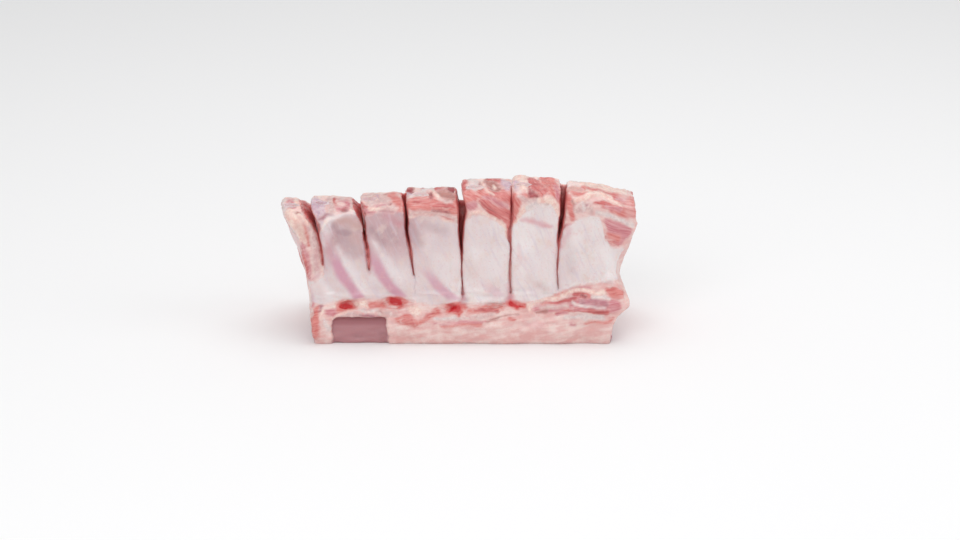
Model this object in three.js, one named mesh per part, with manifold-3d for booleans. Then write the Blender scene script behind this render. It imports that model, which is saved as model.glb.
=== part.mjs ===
// A raw rack of lamb, seven ribs long, standing on its split chine with the ribs up.
//
// Millimetres, +Z up. X runs along the spine, the rib cage's smooth inner side faces -Y and the
// fat side faces +Y. The origin is at the middle of the footprint, on the surface it stands on.
//
// The flesh is one solid: lean, fat and membrane are grown together. Knife cuts from the rib
// side part it into seven chops that stay joined at the chine. The seven rib bones and the
// sawn chine bone are solids of their own, which run through the flesh and show where it is cut.

import * as THREE from 'three';
import { mergeVertices } from 'three/addons/utils/BufferGeometryUtils.js';
import Module from 'manifold-3d';

const wasm = await Module();
wasm.setup();

// ---- Driving dimensions -------------------------------------------------------------------

const DEPTH = 62; // from the front of the vertebrae to the fat over the loin
const FLAP_DEPTH = 22; // thickness of the rib flap where it is sawn off
const FLAP_HEIGHT = 75; // height at which the fan of the ribs is measured
const FAN_POWER = 2.5; // how late the ribs start to spread as they rise
const BONE_GAP = 0.3; // clearance between a bone and the flesh round it

// The eight lines that bound the seven chops, left to right: where each starts on the chine,
// how far it has spread sideways at FLAP_HEIGHT, and how much it bellies out below that.
const CHOP_LINES = [
  { base: -73.3, spread: -21.5, belly: 2.4 },
  { base: -67.5, spread: -12.0, belly: 0.8 },
  { base: -44.0, spread: -8.5, belly: 0 },
  { base: -21.5, spread: -6.0, belly: 0 },
  { base: 3.4, spread: -1.7, belly: 0 },
  { base: 28.7, spread: 0.3, belly: 0 },
  { base: 53.2, spread: 1.8, belly: 0 },
  { base: 80.3, spread: 9.0, belly: 8.2 },
];
const BELLY_HEIGHT = 64;

// Each chop's sawn top: height of its back edge at the left and right, and of its front edge.
const CHOP_TOPS = [
  { left: 71.5, right: 70.5, front: 66.5 },
  { left: 72.5, right: 72.0, front: 68.0 },
  { left: 74.0, right: 75.0, front: 70.5 },
  { left: 77.0, right: 77.0, front: 72.5 },
  { left: 81.0, right: 82.0, front: 76.0 },
  { left: 83.0, right: 82.0, front: 78.0 },
  { left: 81.5, right: 76.5, front: 73.0 },
];

// Each knife cut, between two chops: height where it ends at the inner side, height where it
// ends at the fat side, its usual width, and its mouth between the sawn tops: how far down it
// reaches, and how far it opens there to the left and to the right of the cut's line.
const CUTS = [
  { end: 39, back: 66, width: 1.8, mouth: { depth: 14, left: 5.0, right: 0.7 } },
  { end: 37, back: 67.5, width: 1.8, mouth: { depth: 11, left: 4.2, right: 1.0 } },
  { end: 34, back: 74, width: 1.8, mouth: { depth: 14, left: 1.2, right: 1.2 } },
  { end: 24, back: 69, width: 1.9, mouth: { depth: 22, left: 1.5, right: 1.9 } },
  { end: 23, back: 80.5, width: 1.7, mouth: { depth: 9, left: 0.7, right: 0.7 } },
  { end: 27, back: 79, width: 1.8, mouth: { depth: 18, left: 1.2, right: 2.2 } },
];
const CUT_SLOPE = { front: 21, back: 30 }; // depths between which a cut's end rises

// Each rib bone's line as seen from the inner side: sideways place at its foot on the
// vertebra, at its bend and at the sawn top.
const RIBS = [
  { foot: -68.0, bend: -77.5, top: -87.5 },
  { foot: -54.0, bend: -64.5, top: -71.5 },
  { foot: -31.5, bend: -42.0, top: -45.0 },
  { foot: -3.0, bend: -17.0, top: -19.0 },
  { foot: 22.5, bend: 10.5, top: 10.0 },
  { foot: 46.0, bend: 36.0, top: 35.5 },
  { foot: 69.0, bend: 63.5, top: 62.5 },
];
const RIB_FOOT_HEIGHT = 19;
const RIB_BEND_HEIGHT = 44;
const RIB_TOP_HEIGHT = 90; // past every sawn top: the bones are trimmed level with the flesh
const RIB_WIDTH = 10.5;
const RIB_THICKNESS = 6;
const RIB_COVER = 1.3; // membrane in front of a rib
const RIB_TOP_COVER = 7; // muscle in front of a rib at the sawn top
const RIB_RIDGE = 0.9; // how far a rib lifts the membrane over it

const CHINE = { y: 13.5, halfDepth: 10.5, height: 16, waist: 0.12, vertebra: 25.5 };
const ARCH = { y: 28, radius: 6.8 }; // the bony roof over the spinal canal
const CANAL_RADIUS = 3.4; // the half-round spinal canal, open below
const FEATHER = { from: 30, to: 53, width: 8, slant: 7, thickness: 3.2 }; // spinous processes
const RIB_HEAD_PITS = { reach: [5.5, 3.2, 2.6], height: 20.5, sunk: 1.4 }; // raw marrow, half sizes
const NOTCH = { left: -65, right: -36.5, foot: -35, height: 14.5, depth: 3.8 }; // sawn out

// The strip of muscle along the vertebrae: it starts as a point and swells to the right end.
const STRIP = { from: 24, to: 84, zFrom: 14, zTo: 22.5, y: 8.5, halfDepth: 10, halfHeight: 12 };
const STRIP_LOBE = 9.6; // how far its blunt end stands out past the last chop

const RING_SIDES = 12;

// ---- Small helpers ------------------------------------------------------------------------

const { lerp, clamp, smoothstep } = THREE.MathUtils;

const bell = (distance, width) => Math.exp(-((distance / width) ** 2));

/** The smaller of two values, rounded where they cross over a range of width. */
function smoothMin(a, b, width) {
  const share = clamp(0.5 + (0.5 * (b - a)) / width, 0, 1);
  return lerp(b, a, share) - width * share * (1 - share);
}

/** A closed geometry through rings of equal length, each end shut by a fan on its middle. */
function loft(rings) {
  const count = rings[0].length;
  const points = rings.flat();
  const faces = [];
  for (let r = 0; r + 1 < rings.length; r += 1) {
    for (let i = 0; i < count; i += 1) {
      const a = r * count + i;
      const b = r * count + ((i + 1) % count);
      faces.push(a, b, b + count, a, b + count, a + count);
    }
  }
  for (const [ring, flip] of [[0, true], [rings.length - 1, false]]) {
    const middle = points.length;
    points.push(rings[ring].reduce((sum, p) => sum.add(p), new THREE.Vector3()).divideScalar(count));
    for (let i = 0; i < count; i += 1) {
      const a = ring * count + i;
      const b = ring * count + ((i + 1) % count);
      faces.push(...(flip ? [middle, b, a] : [middle, a, b]));
    }
  }
  return new THREE.BufferGeometry().setFromPoints(points).setIndex(faces);
}

/** A three.js geometry as a solid that can be joined and cut, turned outwards if need be. */
function solidOf(geometry) {
  const bare = new THREE.BufferGeometry();
  bare.setAttribute('position', geometry.getAttribute('position'));
  bare.setIndex(geometry.getIndex());
  const merged = mergeVertices(bare, 1e-4);
  const make = () =>
    new wasm.Manifold(
      new wasm.Mesh({
        numProp: 3,
        vertProperties: new Float32Array(merged.attributes.position.array),
        triVerts: new Uint32Array(merged.index.array),
      }),
    );
  const solid = make();
  if (solid.volume() > 0) return solid;
  const turned = merged.index.array;
  for (let i = 0; i < turned.length; i += 3) {
    [turned[i + 1], turned[i + 2]] = [turned[i + 2], turned[i + 1]];
  }
  return make();
}

/** A solid back as a three.js geometry, keeping only its largest piece. */
function geometryOf(solid) {
  const [largest] = solid.decompose().sort((a, b) => b.volume() - a.volume());
  const mesh = largest.getMesh();
  const geometry = new THREE.BufferGeometry();
  geometry.setAttribute('position', new THREE.BufferAttribute(new Float32Array(mesh.vertProperties), 3));
  geometry.setIndex([...mesh.triVerts]);
  geometry.computeVertexNormals();
  return geometry;
}

const joined = (solids) => solids.reduce((all, solid) => all.add(solid));

// ---- The rack's outer form ----------------------------------------------------------------

/** Sideways place at height z of a line that starts at base and has spread at FLAP_HEIGHT. */
function fanned(line, z) {
  const rise = Math.max(z, 0) / FLAP_HEIGHT;
  return line.base + line.spread * rise ** FAN_POWER + line.belly * bell(z - BELLY_HEIGHT, 11);
}

/** A rib's sideways place at height z: a slanting foot, then nearly upright to the top. */
function ribX(rib, z) {
  const low = smoothstep(z, RIB_FOOT_HEIGHT, RIB_BEND_HEIGHT);
  const high = clamp((z - RIB_BEND_HEIGHT) / (FLAP_HEIGHT - RIB_BEND_HEIGHT), 0, 1.4);
  return lerp(rib.foot, rib.bend, low) + (rib.top - rib.bend) * high;
}

/** Depth of the inner side at height z: rounded vertebrae below, the hollow rib wall above. */
function innerWall(z) {
  const ribWall = 12.8 - 0.0035 * (z - 55) ** 2;
  const vertebraRadius = 12;
  const above = clamp((z - 9) / vertebraRadius, -1, 1);
  const vertebra = vertebraRadius * (1 - Math.sqrt(1 - above ** 2));
  return smoothMin(ribWall, vertebra, 3);
}

/** Depth of the muscle strip's front face, or far back where there is none. */
function stripFace(x, z) {
  const along = clamp((x - STRIP.from) / (STRIP.to - STRIP.from), 0, 1);
  const halfHeight = STRIP.halfHeight * along ** 0.7;
  const off = (z - lerp(STRIP.zFrom, STRIP.zTo, along)) / Math.max(halfHeight, 0.01);
  if (Math.abs(off) >= 1) return DEPTH;
  return STRIP.y + 1 - STRIP.halfDepth * (1 - off ** 2) * along ** 0.4;
}

/** The inner side with its ribs, its vertebrae, the muscle strip and an uneven surface. */
function innerSide(x, z) {
  const ridges = RIBS.reduce((sum, rib) => sum + bell(x - ribX(rib, z), 4.5), 0);
  const fade = smoothstep(z, 24, 32) * (1 - smoothstep(z, 62, 70));
  const discs = Math.cos((2 * Math.PI * (x + 59)) / CHINE.vertebra);
  const uneven = 0.5 * Math.sin(0.21 * x + 0.13 * z) + 0.35 * Math.sin(0.09 * x - 0.17 * z + 2);
  const wall = innerWall(z) - RIB_RIDGE * ridges * fade + 0.7 * discs * bell(z - 12, 9);
  return smoothMin(wall, stripFace(x, z), 3) + uneven * 0.6;
}

/** Depth of the fat side at height z: full over the loin, thinning to the rib flap. */
function fatSide(x, z) {
  const flapBack = 11 + FLAP_DEPTH;
  const thin = 0.5 - 0.5 * Math.cos(Math.PI * clamp((z - 18) / 60, 0, 1));
  const foot = 4 * clamp((18 - z) / 18, 0, 1) ** 2;
  const uneven = 0.8 * Math.sin(0.07 * x + 1) + 0.5 * Math.sin(0.16 * x + 0.1 * z);
  return lerp(DEPTH, flapBack, thin) - foot + uneven * smoothstep(z, 0, 12);
}

/** The outline of the rack at one station along the spine, from the foot up the inner side,
 *  over the sawn top, down the fat side and back along the flat foot. */
function station(line, top) {
  const lobe = STRIP_LOBE * smoothstep(line.base, 66, 80);
  const at = (y, z) => {
    const bulge = lobe * bell(z - STRIP.zTo, 8.5) * (1 - smoothstep(y, 10, 26));
    return new THREE.Vector3(fanned(line, z) + bulge, y, z);
  };
  const inner = (z) => at(innerSide(fanned(line, z), z), z);
  const outer = (z) => at(fatSide(fanned(line, z), z), z);
  const front = [0, 2, 5, 9, 13, 16.5, 19.5, 22, 24.5, 27.5, 32, 38, 44, 50, 56];
  front.push(lerp(56, top.front, 0.5));
  const rise = top.back - top.front;
  const lip = inner(top.front);
  const farY = outer(top.back).y;
  return [
    ...front.map(inner),
    lip,
    at(lip.y + 2.2, top.front + rise * 0.45),
    at(lip.y + 6.5, top.front + rise * 0.78),
    at(lerp(lip.y, farY, 0.62), top.front + rise * 0.96),
    at(farY - 2.2, top.back),
    outer(top.back - 2.4),
    ...[0.88, 0.76, 0.64, 0.53, 0.42, 0.32, 0.22, 0.12, 0.05].map((share) => outer(share * top.back)),
    outer(0),
    ...[45, 33, 21, 11].map((y) => at(y, 0)),
  ];
}

/** A ring drawn in towards its middle, for the rounded rim of a cut end. The foot stays flat. */
function drawnIn(ring, inset) {
  const middle = ring.reduce((sum, p) => sum.add(p), new THREE.Vector3()).divideScalar(ring.length);
  return ring.map((p) => {
    const away = p.clone().sub(middle).setX(0);
    const drawn = p.clone().addScaledVector(away.normalize(), -inset);
    return p.z < 0.01 ? drawn.setZ(0) : drawn;
  });
}

const between = (a, b, share) => ({
  base: lerp(a.base, b.base, share),
  spread: lerp(a.spread, b.spread, share),
  belly: lerp(a.belly, b.belly, share),
});

function outerForm() {
  const shares = [0.025, 0.14, 0.28, 0.43, 0.57, 0.72, 0.86, 0.975];
  const rings = CHOP_TOPS.flatMap((top, chop) =>
    shares.map((share) =>
      station(between(CHOP_LINES[chop], CHOP_LINES[chop + 1], share), {
        back: lerp(top.left, top.right, share),
        front: top.front,
      }),
    ),
  );
  const rim = 1.4;
  const first = drawnIn(rings[0], rim).map((p) => p.setX(p.x - rim));
  const last = drawnIn(rings.at(-1), rim).map((p) => p.setX(p.x + rim));
  return solidOf(loft([first, ...rings, last]));
}

// ---- What is cut away ---------------------------------------------------------------------

/** What a knife leaves uncut under it: a ramp that rises from the inner side to the fat side. */
function rampUnder(line, cut) {
  const past = 8;
  const reach = 40;
  const side = new THREE.Shape([
    new THREE.Vector2(CUT_SLOPE.front, cut.end - past),
    new THREE.Vector2(DEPTH + past, cut.end - past),
    new THREE.Vector2(DEPTH + past, cut.back),
    new THREE.Vector2(CUT_SLOPE.back, cut.back),
    new THREE.Vector2(CUT_SLOPE.front, cut.end),
  ]);
  const ramp = new THREE.ExtrudeGeometry(side, { depth: 2 * reach, bevelEnabled: false });
  const [alongX, alongY, alongZ] = [[1, 0, 0], [0, 1, 0], [0, 0, 1]].map((v) => new THREE.Vector3(...v));
  ramp.applyMatrix4(new THREE.Matrix4().makeBasis(alongY, alongZ, alongX));
  ramp.translate(line.base - reach, 0, 0);
  return solidOf(ramp);
}

/** One knife cut: a thin slot that follows its line, flares out at its mouth and ends on a ramp. */
function knifeCut(line, cut, top) {
  const past = 4;
  const { depth, left, right } = cut.mouth;
  const neck = top - depth;
  const heights = [0, 0.25, 0.5, 0.75, 1].map((share) => lerp(cut.end, neck, share));
  heights.push(neck + depth * 0.35, neck + depth * 0.7, top, top + depth);
  const rings = heights.map((z) => {
    const half = (cut.width / 2) * lerp(0.85, 1, smoothstep(z, cut.end, cut.end + 8));
    const open = Math.max(0, (z - neck) / depth) ** 1.3;
    const x = fanned(line, z) + 0.3 * Math.sin(0.3 * z);
    const walls = [x - lerp(half, left, open), x + lerp(half, right, open)];
    const corner = (side, y) => new THREE.Vector3(walls[side], y, z);
    return [corner(0, -past), corner(1, -past), corner(1, DEPTH + past), corner(0, DEPTH + past)];
  });
  return solidOf(loft(rings)).subtract(rampUnder(line, cut));
}

/** The block that was sawn out of the chine near the left end. */
function sawnNotch() {
  const below = 2;
  const outline = new THREE.Shape([
    new THREE.Vector2(NOTCH.left, -below),
    new THREE.Vector2(NOTCH.foot, -below),
    new THREE.Vector2(NOTCH.right, NOTCH.height),
    new THREE.Vector2(NOTCH.left, NOTCH.height),
  ]);
  const block = new THREE.ExtrudeGeometry(outline, { depth: 2 * NOTCH.depth, bevelEnabled: false });
  block.rotateX(Math.PI / 2);
  block.translate(0, NOTCH.depth, 0);
  return solidOf(block);
}

/** A bar along the spine, longer than the rack, half of which is below the foot. */
function bar(radius, sides) {
  const long = 1.2 * (CHOP_LINES.at(-1).base - CHOP_LINES[0].base);
  const round = new THREE.CylinderGeometry(radius, radius, long, sides);
  round.rotateZ(Math.PI / 2);
  round.translate(0, ARCH.y, 0);
  return solidOf(round);
}

/** The shallow pits of raw marrow at the rib heads that the muscle strip leaves bare. */
function ribHeadPits() {
  const [halfWidth, halfHeight, halfDepth] = RIB_HEAD_PITS.reach;
  const bare = RIBS.filter((rib) => rib.foot > NOTCH.left + 5 && rib.foot < STRIP.from);
  const pits = bare.map((rib) => {
    const x = rib.foot - 2;
    const pit = new THREE.SphereGeometry(1, 12, 8);
    pit.scale(halfWidth, halfDepth, halfHeight);
    const face = innerSide(x, RIB_HEAD_PITS.height);
    pit.translate(x, face + RIB_HEAD_PITS.sunk - halfDepth, RIB_HEAD_PITS.height);
    return solidOf(pit);
  });
  return joined(pits);
}

// ---- Bones --------------------------------------------------------------------------------

/** A rib bone, grown by extra all round: an oval that follows the rib wall up to the top. */
function ribBone(rib, extra) {
  const steps = 9;
  const rings = Array.from({ length: steps + 1 }, (_, i) => {
    const z = lerp(RIB_FOOT_HEIGHT - extra, RIB_TOP_HEIGHT + extra, i / steps);
    const x = ribX(rib, z);
    const cover = lerp(RIB_COVER, RIB_TOP_COVER, smoothstep(z, 48, 72));
    const y = innerWall(Math.max(z, 27)) + cover + RIB_THICKNESS / 2;
    const neck = lerp(0.72, 1, smoothstep(z, RIB_FOOT_HEIGHT, 40));
    return Array.from({ length: RING_SIDES }, (_, side) => {
      const angle = (2 * Math.PI * side) / RING_SIDES;
      return new THREE.Vector3(
        x + Math.cos(angle) * ((RIB_WIDTH / 2) * neck + extra),
        y + Math.sin(angle) * ((RIB_THICKNESS / 2) * neck + extra),
        z,
      );
    });
  });
  return solidOf(loft(rings));
}

/** The row of half vertebrae, each with a waist, longer than the rack and open below it. */
function vertebraRow(extra) {
  const ends = [CHOP_LINES[0].base - 12, CHOP_LINES.at(-1).base + 14];
  const steps = 48;
  const rings = Array.from({ length: steps + 1 }, (_, i) => {
    const x = lerp(ends[0] - extra, ends[1] + extra, i / steps);
    const swell = 1 - CHINE.waist * (0.5 + 0.5 * Math.cos((2 * Math.PI * (x + 46)) / CHINE.vertebra));
    return Array.from({ length: RING_SIDES }, (_, side) => {
      const angle = (Math.PI * side) / (RING_SIDES - 1);
      const isFoot = side === 0 || side === RING_SIDES - 1;
      return new THREE.Vector3(
        x,
        CHINE.y - Math.cos(angle) * (CHINE.halfDepth * swell + extra),
        isFoot ? -extra * 3 : Math.sin(angle) * (CHINE.height * swell + extra),
      );
    });
  });
  return solidOf(loft(rings));
}

/** One spinous process, split with the spine: a thin slanting plate in the foot. */
function featherBone(x, extra) {
  const { from, to, width, slant, thickness } = FEATHER;
  const half = width / 2 + extra;
  const outline = new THREE.Shape();
  outline.moveTo(x - half, from);
  outline.lineTo(x + half, from);
  outline.lineTo(x + half + slant, to);
  outline.absarc(x + slant, to, half, 0, Math.PI, false);
  outline.closePath();
  const below = extra * 3;
  const plate = new THREE.ExtrudeGeometry(outline, {
    depth: thickness + extra + below,
    bevelEnabled: false,
    curveSegments: 5,
  });
  plate.translate(0, 0, -below);
  return solidOf(plate);
}

/** Everything of the spine: the vertebrae, the roof over the canal and the feather bones. */
function chineBone(extra) {
  const feathers = RIBS.map((rib) => featherBone(rib.foot, extra));
  return joined([vertebraRow(extra), bar(ARCH.radius + extra, 20), ...feathers]);
}

// ---- Putting the rack together ------------------------------------------------------------

const hollows = joined([sawnNotch(), bar(CANAL_RADIUS, 14), ribHeadPits()]);
const whole = outerForm().subtract(hollows);
const cuts = joined(
  CUTS.map((cut, i) => {
    const lowerTop = Math.min(CHOP_TOPS[i].right, CHOP_TOPS[i + 1].left);
    return knifeCut(CHOP_LINES[i + 1], cut, lowerTop);
  }),
);
const chine = chineBone(0).intersect(whole);
const chineRoom = chineBone(BONE_GAP);
const ribs = RIBS.map((rib) => ribBone(rib, 0).intersect(whole).subtract(chineRoom).subtract(cuts));
const ribRoom = joined(RIBS.map((rib) => ribBone(rib, BONE_GAP)));
const flesh = whole.subtract(cuts).subtract(chineRoom).subtract(ribRoom);

const fleshFinish = new THREE.MeshStandardMaterial({ color: 0xe2c4c0, roughness: 0.4, metalness: 0 });
const boneFinish = new THREE.MeshStandardMaterial({ color: 0xdccbd0, roughness: 0.55, metalness: 0 });

const rack = new THREE.Group();

function addPiece(name, solid, finish) {
  const piece = new THREE.Mesh(geometryOf(solid), finish);
  piece.name = name;
  rack.add(piece);
  return piece;
}

const fleshPiece = addPiece('flesh', flesh, fleshFinish);
addPiece('chine_bone', chine, boneFinish);
ribs.forEach((rib, i) => addPiece(`rib_bone_${i + 1}`, rib, boneFinish));

// The origin goes to the middle of the footprint.
fleshPiece.geometry.computeBoundingBox();
const middle = fleshPiece.geometry.boundingBox.getCenter(new THREE.Vector3());
rack.position.set(-middle.x, -middle.y, 0);

export default rack;
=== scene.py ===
# %% [markdown]
# # A raw rack of lamb
#
# A rack of lamb is one side of the rib cage, split down the backbone. This one stands on the
# sawn backbone with its ribs up. The hollow inner side, lined with a pearly membrane, faces
# the camera; the fat that lay under the skin is behind. A knife has parted it from the top
# down into seven chops, which the backbone still holds together.
#
# The frame below is the same rack as plain solids. Everything here is measured from it, so
# the dressed piece stands where the plain one does. Lengths are millimetres wherever a name
# doesn't say otherwise, and `MM` turns them into Blender's metres.

# %% Load the frame
import math

import bmesh
import bpy
import numpy as np
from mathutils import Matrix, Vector
from mathutils.bvhtree import BVHTree


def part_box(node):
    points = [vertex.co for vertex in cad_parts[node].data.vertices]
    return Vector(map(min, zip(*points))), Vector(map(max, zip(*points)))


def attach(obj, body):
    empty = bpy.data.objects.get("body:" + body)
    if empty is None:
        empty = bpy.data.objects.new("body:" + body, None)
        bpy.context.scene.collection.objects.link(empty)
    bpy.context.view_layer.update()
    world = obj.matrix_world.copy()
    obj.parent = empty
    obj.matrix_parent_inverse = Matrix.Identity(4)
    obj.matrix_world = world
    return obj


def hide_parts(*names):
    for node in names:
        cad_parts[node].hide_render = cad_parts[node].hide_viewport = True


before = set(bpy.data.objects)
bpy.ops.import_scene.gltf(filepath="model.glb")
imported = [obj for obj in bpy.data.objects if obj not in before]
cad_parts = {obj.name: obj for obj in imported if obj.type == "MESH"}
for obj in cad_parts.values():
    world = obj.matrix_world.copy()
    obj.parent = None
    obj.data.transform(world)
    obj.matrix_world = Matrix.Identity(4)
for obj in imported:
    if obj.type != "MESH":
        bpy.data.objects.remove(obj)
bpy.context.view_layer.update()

MM = 0.001

# %% [markdown]
# ## Camera
#
# The camera is a long lens, a little over a metre away and about 20 degrees above the level,
# which is how a cook looks at meat on a counter. A long lens keeps the chops at both ends as
# tall as those in the middle. The camera comes first, so every later step can be judged by it.

# %% Camera
CAMERA_AIM = Vector((10.9, -11.1, 34.7)) * MM
CAMERA_LIFT = math.radians(20.5)
CAMERA_DISTANCE = 1.4
CAMERA_LENS = 99.7


def make_camera():
    data = bpy.data.cameras.new("camera")
    data.lens = CAMERA_LENS
    camera = bpy.data.objects.new("camera", data)
    away = Vector((0, -math.cos(CAMERA_LIFT), math.sin(CAMERA_LIFT)))
    camera.location = CAMERA_AIM + away * CAMERA_DISTANCE
    camera.rotation_euler = (-away).to_track_quat("-Z", "Y").to_euler()
    bpy.context.scene.collection.objects.link(camera)
    bpy.context.scene.camera = camera
    return camera


camera = make_camera()
print("camera at", [round(c, 3) for c in camera.location])

# %% [markdown]
# ## Floor and light
#
# Raw meat is pale and wet. Hard lamps would cover it in white sparks and hide its colours, so
# the light is a bright white room and three large soft panels. The floor is white and matt, and
# it lights the underside of everything that stands on it, as a worktop does.


# %% Floor and light
def principled(name, **values):
    """A new material whose Principled shader has these values; sockets go by their own names."""
    material = bpy.data.materials.new(name)
    material.use_nodes = True
    shader = material.node_tree.nodes["Principled BSDF"]
    for socket, value in values.items():
        shader.inputs[socket.replace("_", " ")].default_value = value
    return material


FLOOR_REACH = 6.0  # metres from the middle to each edge


def make_floor():
    mesh = bpy.data.meshes.new("floor")
    signs = ((-1, -1), (1, -1), (1, 1), (-1, 1))
    corners = [(x * FLOOR_REACH, y * FLOOR_REACH, 0) for x, y in signs]
    mesh.from_pydata(corners, [], [(0, 1, 2, 3)])
    floor = bpy.data.objects.new("floor", mesh)
    bpy.context.scene.collection.objects.link(floor)
    white = principled("floor_white", Base_Color=(0.93, 0.93, 0.935, 1), Roughness=0.9)
    white.node_tree.nodes["Principled BSDF"].inputs["Specular IOR Level"].default_value = 0.1
    mesh.materials.append(white)


def make_panel(name, place, aim, width, height, power):
    data = bpy.data.lights.new(name, "AREA")
    data.shape = "RECTANGLE"
    data.size = width
    data.size_y = height
    data.energy = power
    lamp = bpy.data.objects.new(name, data)
    lamp.location = Vector(place)
    lamp.rotation_euler = (Vector(aim) - lamp.location).to_track_quat("-Z", "Y").to_euler()
    bpy.context.scene.collection.objects.link(lamp)


def make_room(strength):
    world = bpy.data.worlds.new("white_room")
    world.use_nodes = True
    background = world.node_tree.nodes["Background"]
    background.inputs["Color"].default_value = (1.0, 1.0, 1.0, 1)
    background.inputs["Strength"].default_value = strength
    bpy.context.scene.world = world


RACK_MIDDLE = (0, 0, 0.04)
ROOM_STRENGTH = 0.60
make_floor()
make_room(ROOM_STRENGTH)
make_panel("panel_front", (-0.35, -1.0, 0.75), RACK_MIDDLE, 0.8, 0.6, 3.9)
make_panel("panel_top", (0.1, 0.1, 1.1), RACK_MIDDLE, 0.9, 0.9, 4.0)
make_panel("panel_right", (1.0, -0.3, 0.6), RACK_MIDDLE, 0.6, 0.6, 1.6)
bpy.context.scene.view_settings.view_transform = "Standard"

# %% [markdown]
# ## The rack's own measures
#
# The meat is described in the rack's own terms: `x` along the spine, `y` back from the front
# of the backbone, `z` up. What a point is made of depends on how deep it lies under each of the
# rack's faces, so the plain solids are measured once with rays into small maps of those faces.
# The knife cuts are bridged, because a chop's fat and membrane don't know about the knife.

# %% Measure the faces of the rack
RACK_ORIGIN = np.array((1.57, 31.14, 0.0))  # the frame's origin, in the rack's own terms
RACK_ENDS = (-96.0, 96.0)
RACK_DEPTHS = (-2.0, 65.0)
RACK_HEIGHTS = (0.0, 84.0)
BRIDGE = 5  # how many millimetres a knife cut may be wide, with its torn lips
JUMP = 2.0  # a face that falls back further than this between neighbours is a cut
RAY_START = 200.0  # how far from the origin a ray starts, well outside the rack


def to_rack(points_m):
    """Blender's metres as the rack's millimetres, with y counted from the backbone's front."""
    return points_m / MM + RACK_ORIGIN


def from_rack(points):
    return (points - RACK_ORIGIN) * MM


def whole_tree():
    """A tree of every face of the plain solids, to shoot rays at."""
    points, faces = [], []
    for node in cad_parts.values():
        first = len(points)
        points += [v.co.copy() for v in node.data.vertices]
        faces += [[first + i for i in p.vertices] for p in node.data.polygons]
    return BVHTree.FromPolygons(points, faces)


def bridged(values, hit, facing):
    """Fills what a knife cut leaves open, along the first axis, from the face on both sides."""
    signed = np.where(hit, values * facing, np.inf)
    nearest = signed.copy()
    for shift in range(1, BRIDGE + 1):
        nearest[shift:] = np.minimum(nearest[shift:], signed[:-shift])
        nearest[:-shift] = np.minimum(nearest[:-shift], signed[shift:])
    solid = signed < nearest + JUMP
    filled = np.zeros_like(values)
    rows = [r for r in range(values.shape[1]) if solid[:, r].any()]
    places = np.arange(values.shape[0])
    for row in range(values.shape[1]):
        known = solid[:, row]
        if known.any():
            filled[:, row] = np.interp(places, places[known], values[known, row])
    for row in range(values.shape[1]):
        if row < rows[0] or row > rows[-1]:
            filled[:, row] = filled[:, rows[0] if row < rows[0] else rows[-1]]
    return filled


class FaceMap:
    """Where rays along one axis meet the rack, one value for each square millimetre.

    The axes may be turned first: each row of `turn` is then one axis, in the rack's terms.
    """

    def __init__(self, tree, axis, sign, first, second, turn=None):
        self.others = [a for a in range(3) if a != axis]
        self.start = (first[0], second[0])
        self.turn = np.eye(3) if turn is None else turn
        shape = [int(round(span[1] - span[0])) + 1 for span in (first, second)]
        values = np.zeros(shape)
        hit = np.zeros(shape, bool)
        direction = Vector(sign * self.turn[axis])
        for i in range(shape[0]):
            for j in range(shape[1]):
                point = np.zeros(3)
                point[self.others[0]] = first[0] + i
                point[self.others[1]] = second[0] + j
                point[axis] = -RAY_START * sign
                place = tree.ray_cast(Vector(from_rack(point @ self.turn)), direction)[0]
                if place is not None:
                    hit[i, j] = True
                    values[i, j] = to_rack(np.array(place)) @ self.turn[axis]
        self.values = bridged(values, hit, sign)

    def at(self, points):
        """The face's place under each point, by linear interpolation."""
        first, second = points @ self.turn[self.others[0]], points @ self.turn[self.others[1]]
        a = np.clip(first - self.start[0], 0, self.values.shape[0] - 1.001)
        b = np.clip(second - self.start[1], 0, self.values.shape[1] - 1.001)
        i, j = a.astype(int), b.astype(int)
        fa, fb = a - i, b - j
        low = self.values[i, j] * (1 - fa) + self.values[i + 1, j] * fa
        high = self.values[i, j + 1] * (1 - fa) + self.values[i + 1, j + 1] * fa
        return low * (1 - fb) + high * fb


RISE_Z, RISE_Y = math.cos(CAMERA_LIFT), math.sin(CAMERA_LIFT)
CAMERA_TURN = np.array(((1.0, 0.0, 0.0), (0.0, RISE_Z, -RISE_Y), (0.0, RISE_Y, RISE_Z)))
SEEN_RISES = (0.0, 96.0)

tree = whole_tree()
seen_face = FaceMap(tree, 1, 1, RACK_ENDS, SEEN_RISES, CAMERA_TURN)
inner_face = FaceMap(tree, 1, 1, RACK_ENDS, RACK_HEIGHTS)
fat_face = FaceMap(tree, 1, -1, RACK_ENDS, RACK_HEIGHTS)
top_face = FaceMap(tree, 2, -1, RACK_ENDS, RACK_DEPTHS)
print("inner face from", round(inner_face.values.min(), 1), "to", round(inner_face.values.max(), 1))

# %% [markdown]
# ## Noise and smooth steps
#
# Meat is never even, so nearly every form below is bent by noise. Blender's shader noise can't
# be read by Python, so this is a small one: a fixed lattice of random numbers, blended smoothly.
# The seed is fixed, so the rack comes out the same each time.

# %% Noise
LATTICE = 32
lattice = np.random.default_rng(11).uniform(-1, 1, (LATTICE, LATTICE, LATTICE))


def noise(points, size, shift=0.0):
    """Smooth noise from -1 to 1 whose lumps are about size across. size may be one per axis."""
    place = points / np.asarray(size, float) + 7.3 + shift * 5.17
    cell = np.floor(place).astype(int)
    part = place - cell
    part = part * part * (3 - 2 * part)
    total = np.zeros(len(points))
    for corner in range(8):
        offset = np.array([(corner >> a) & 1 for a in range(3)])
        weight = np.prod(np.where(offset, part, 1 - part), axis=1)
        i, j, k = ((cell + offset) % LATTICE).T
        total += weight * lattice[i, j, k]
    return total


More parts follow.
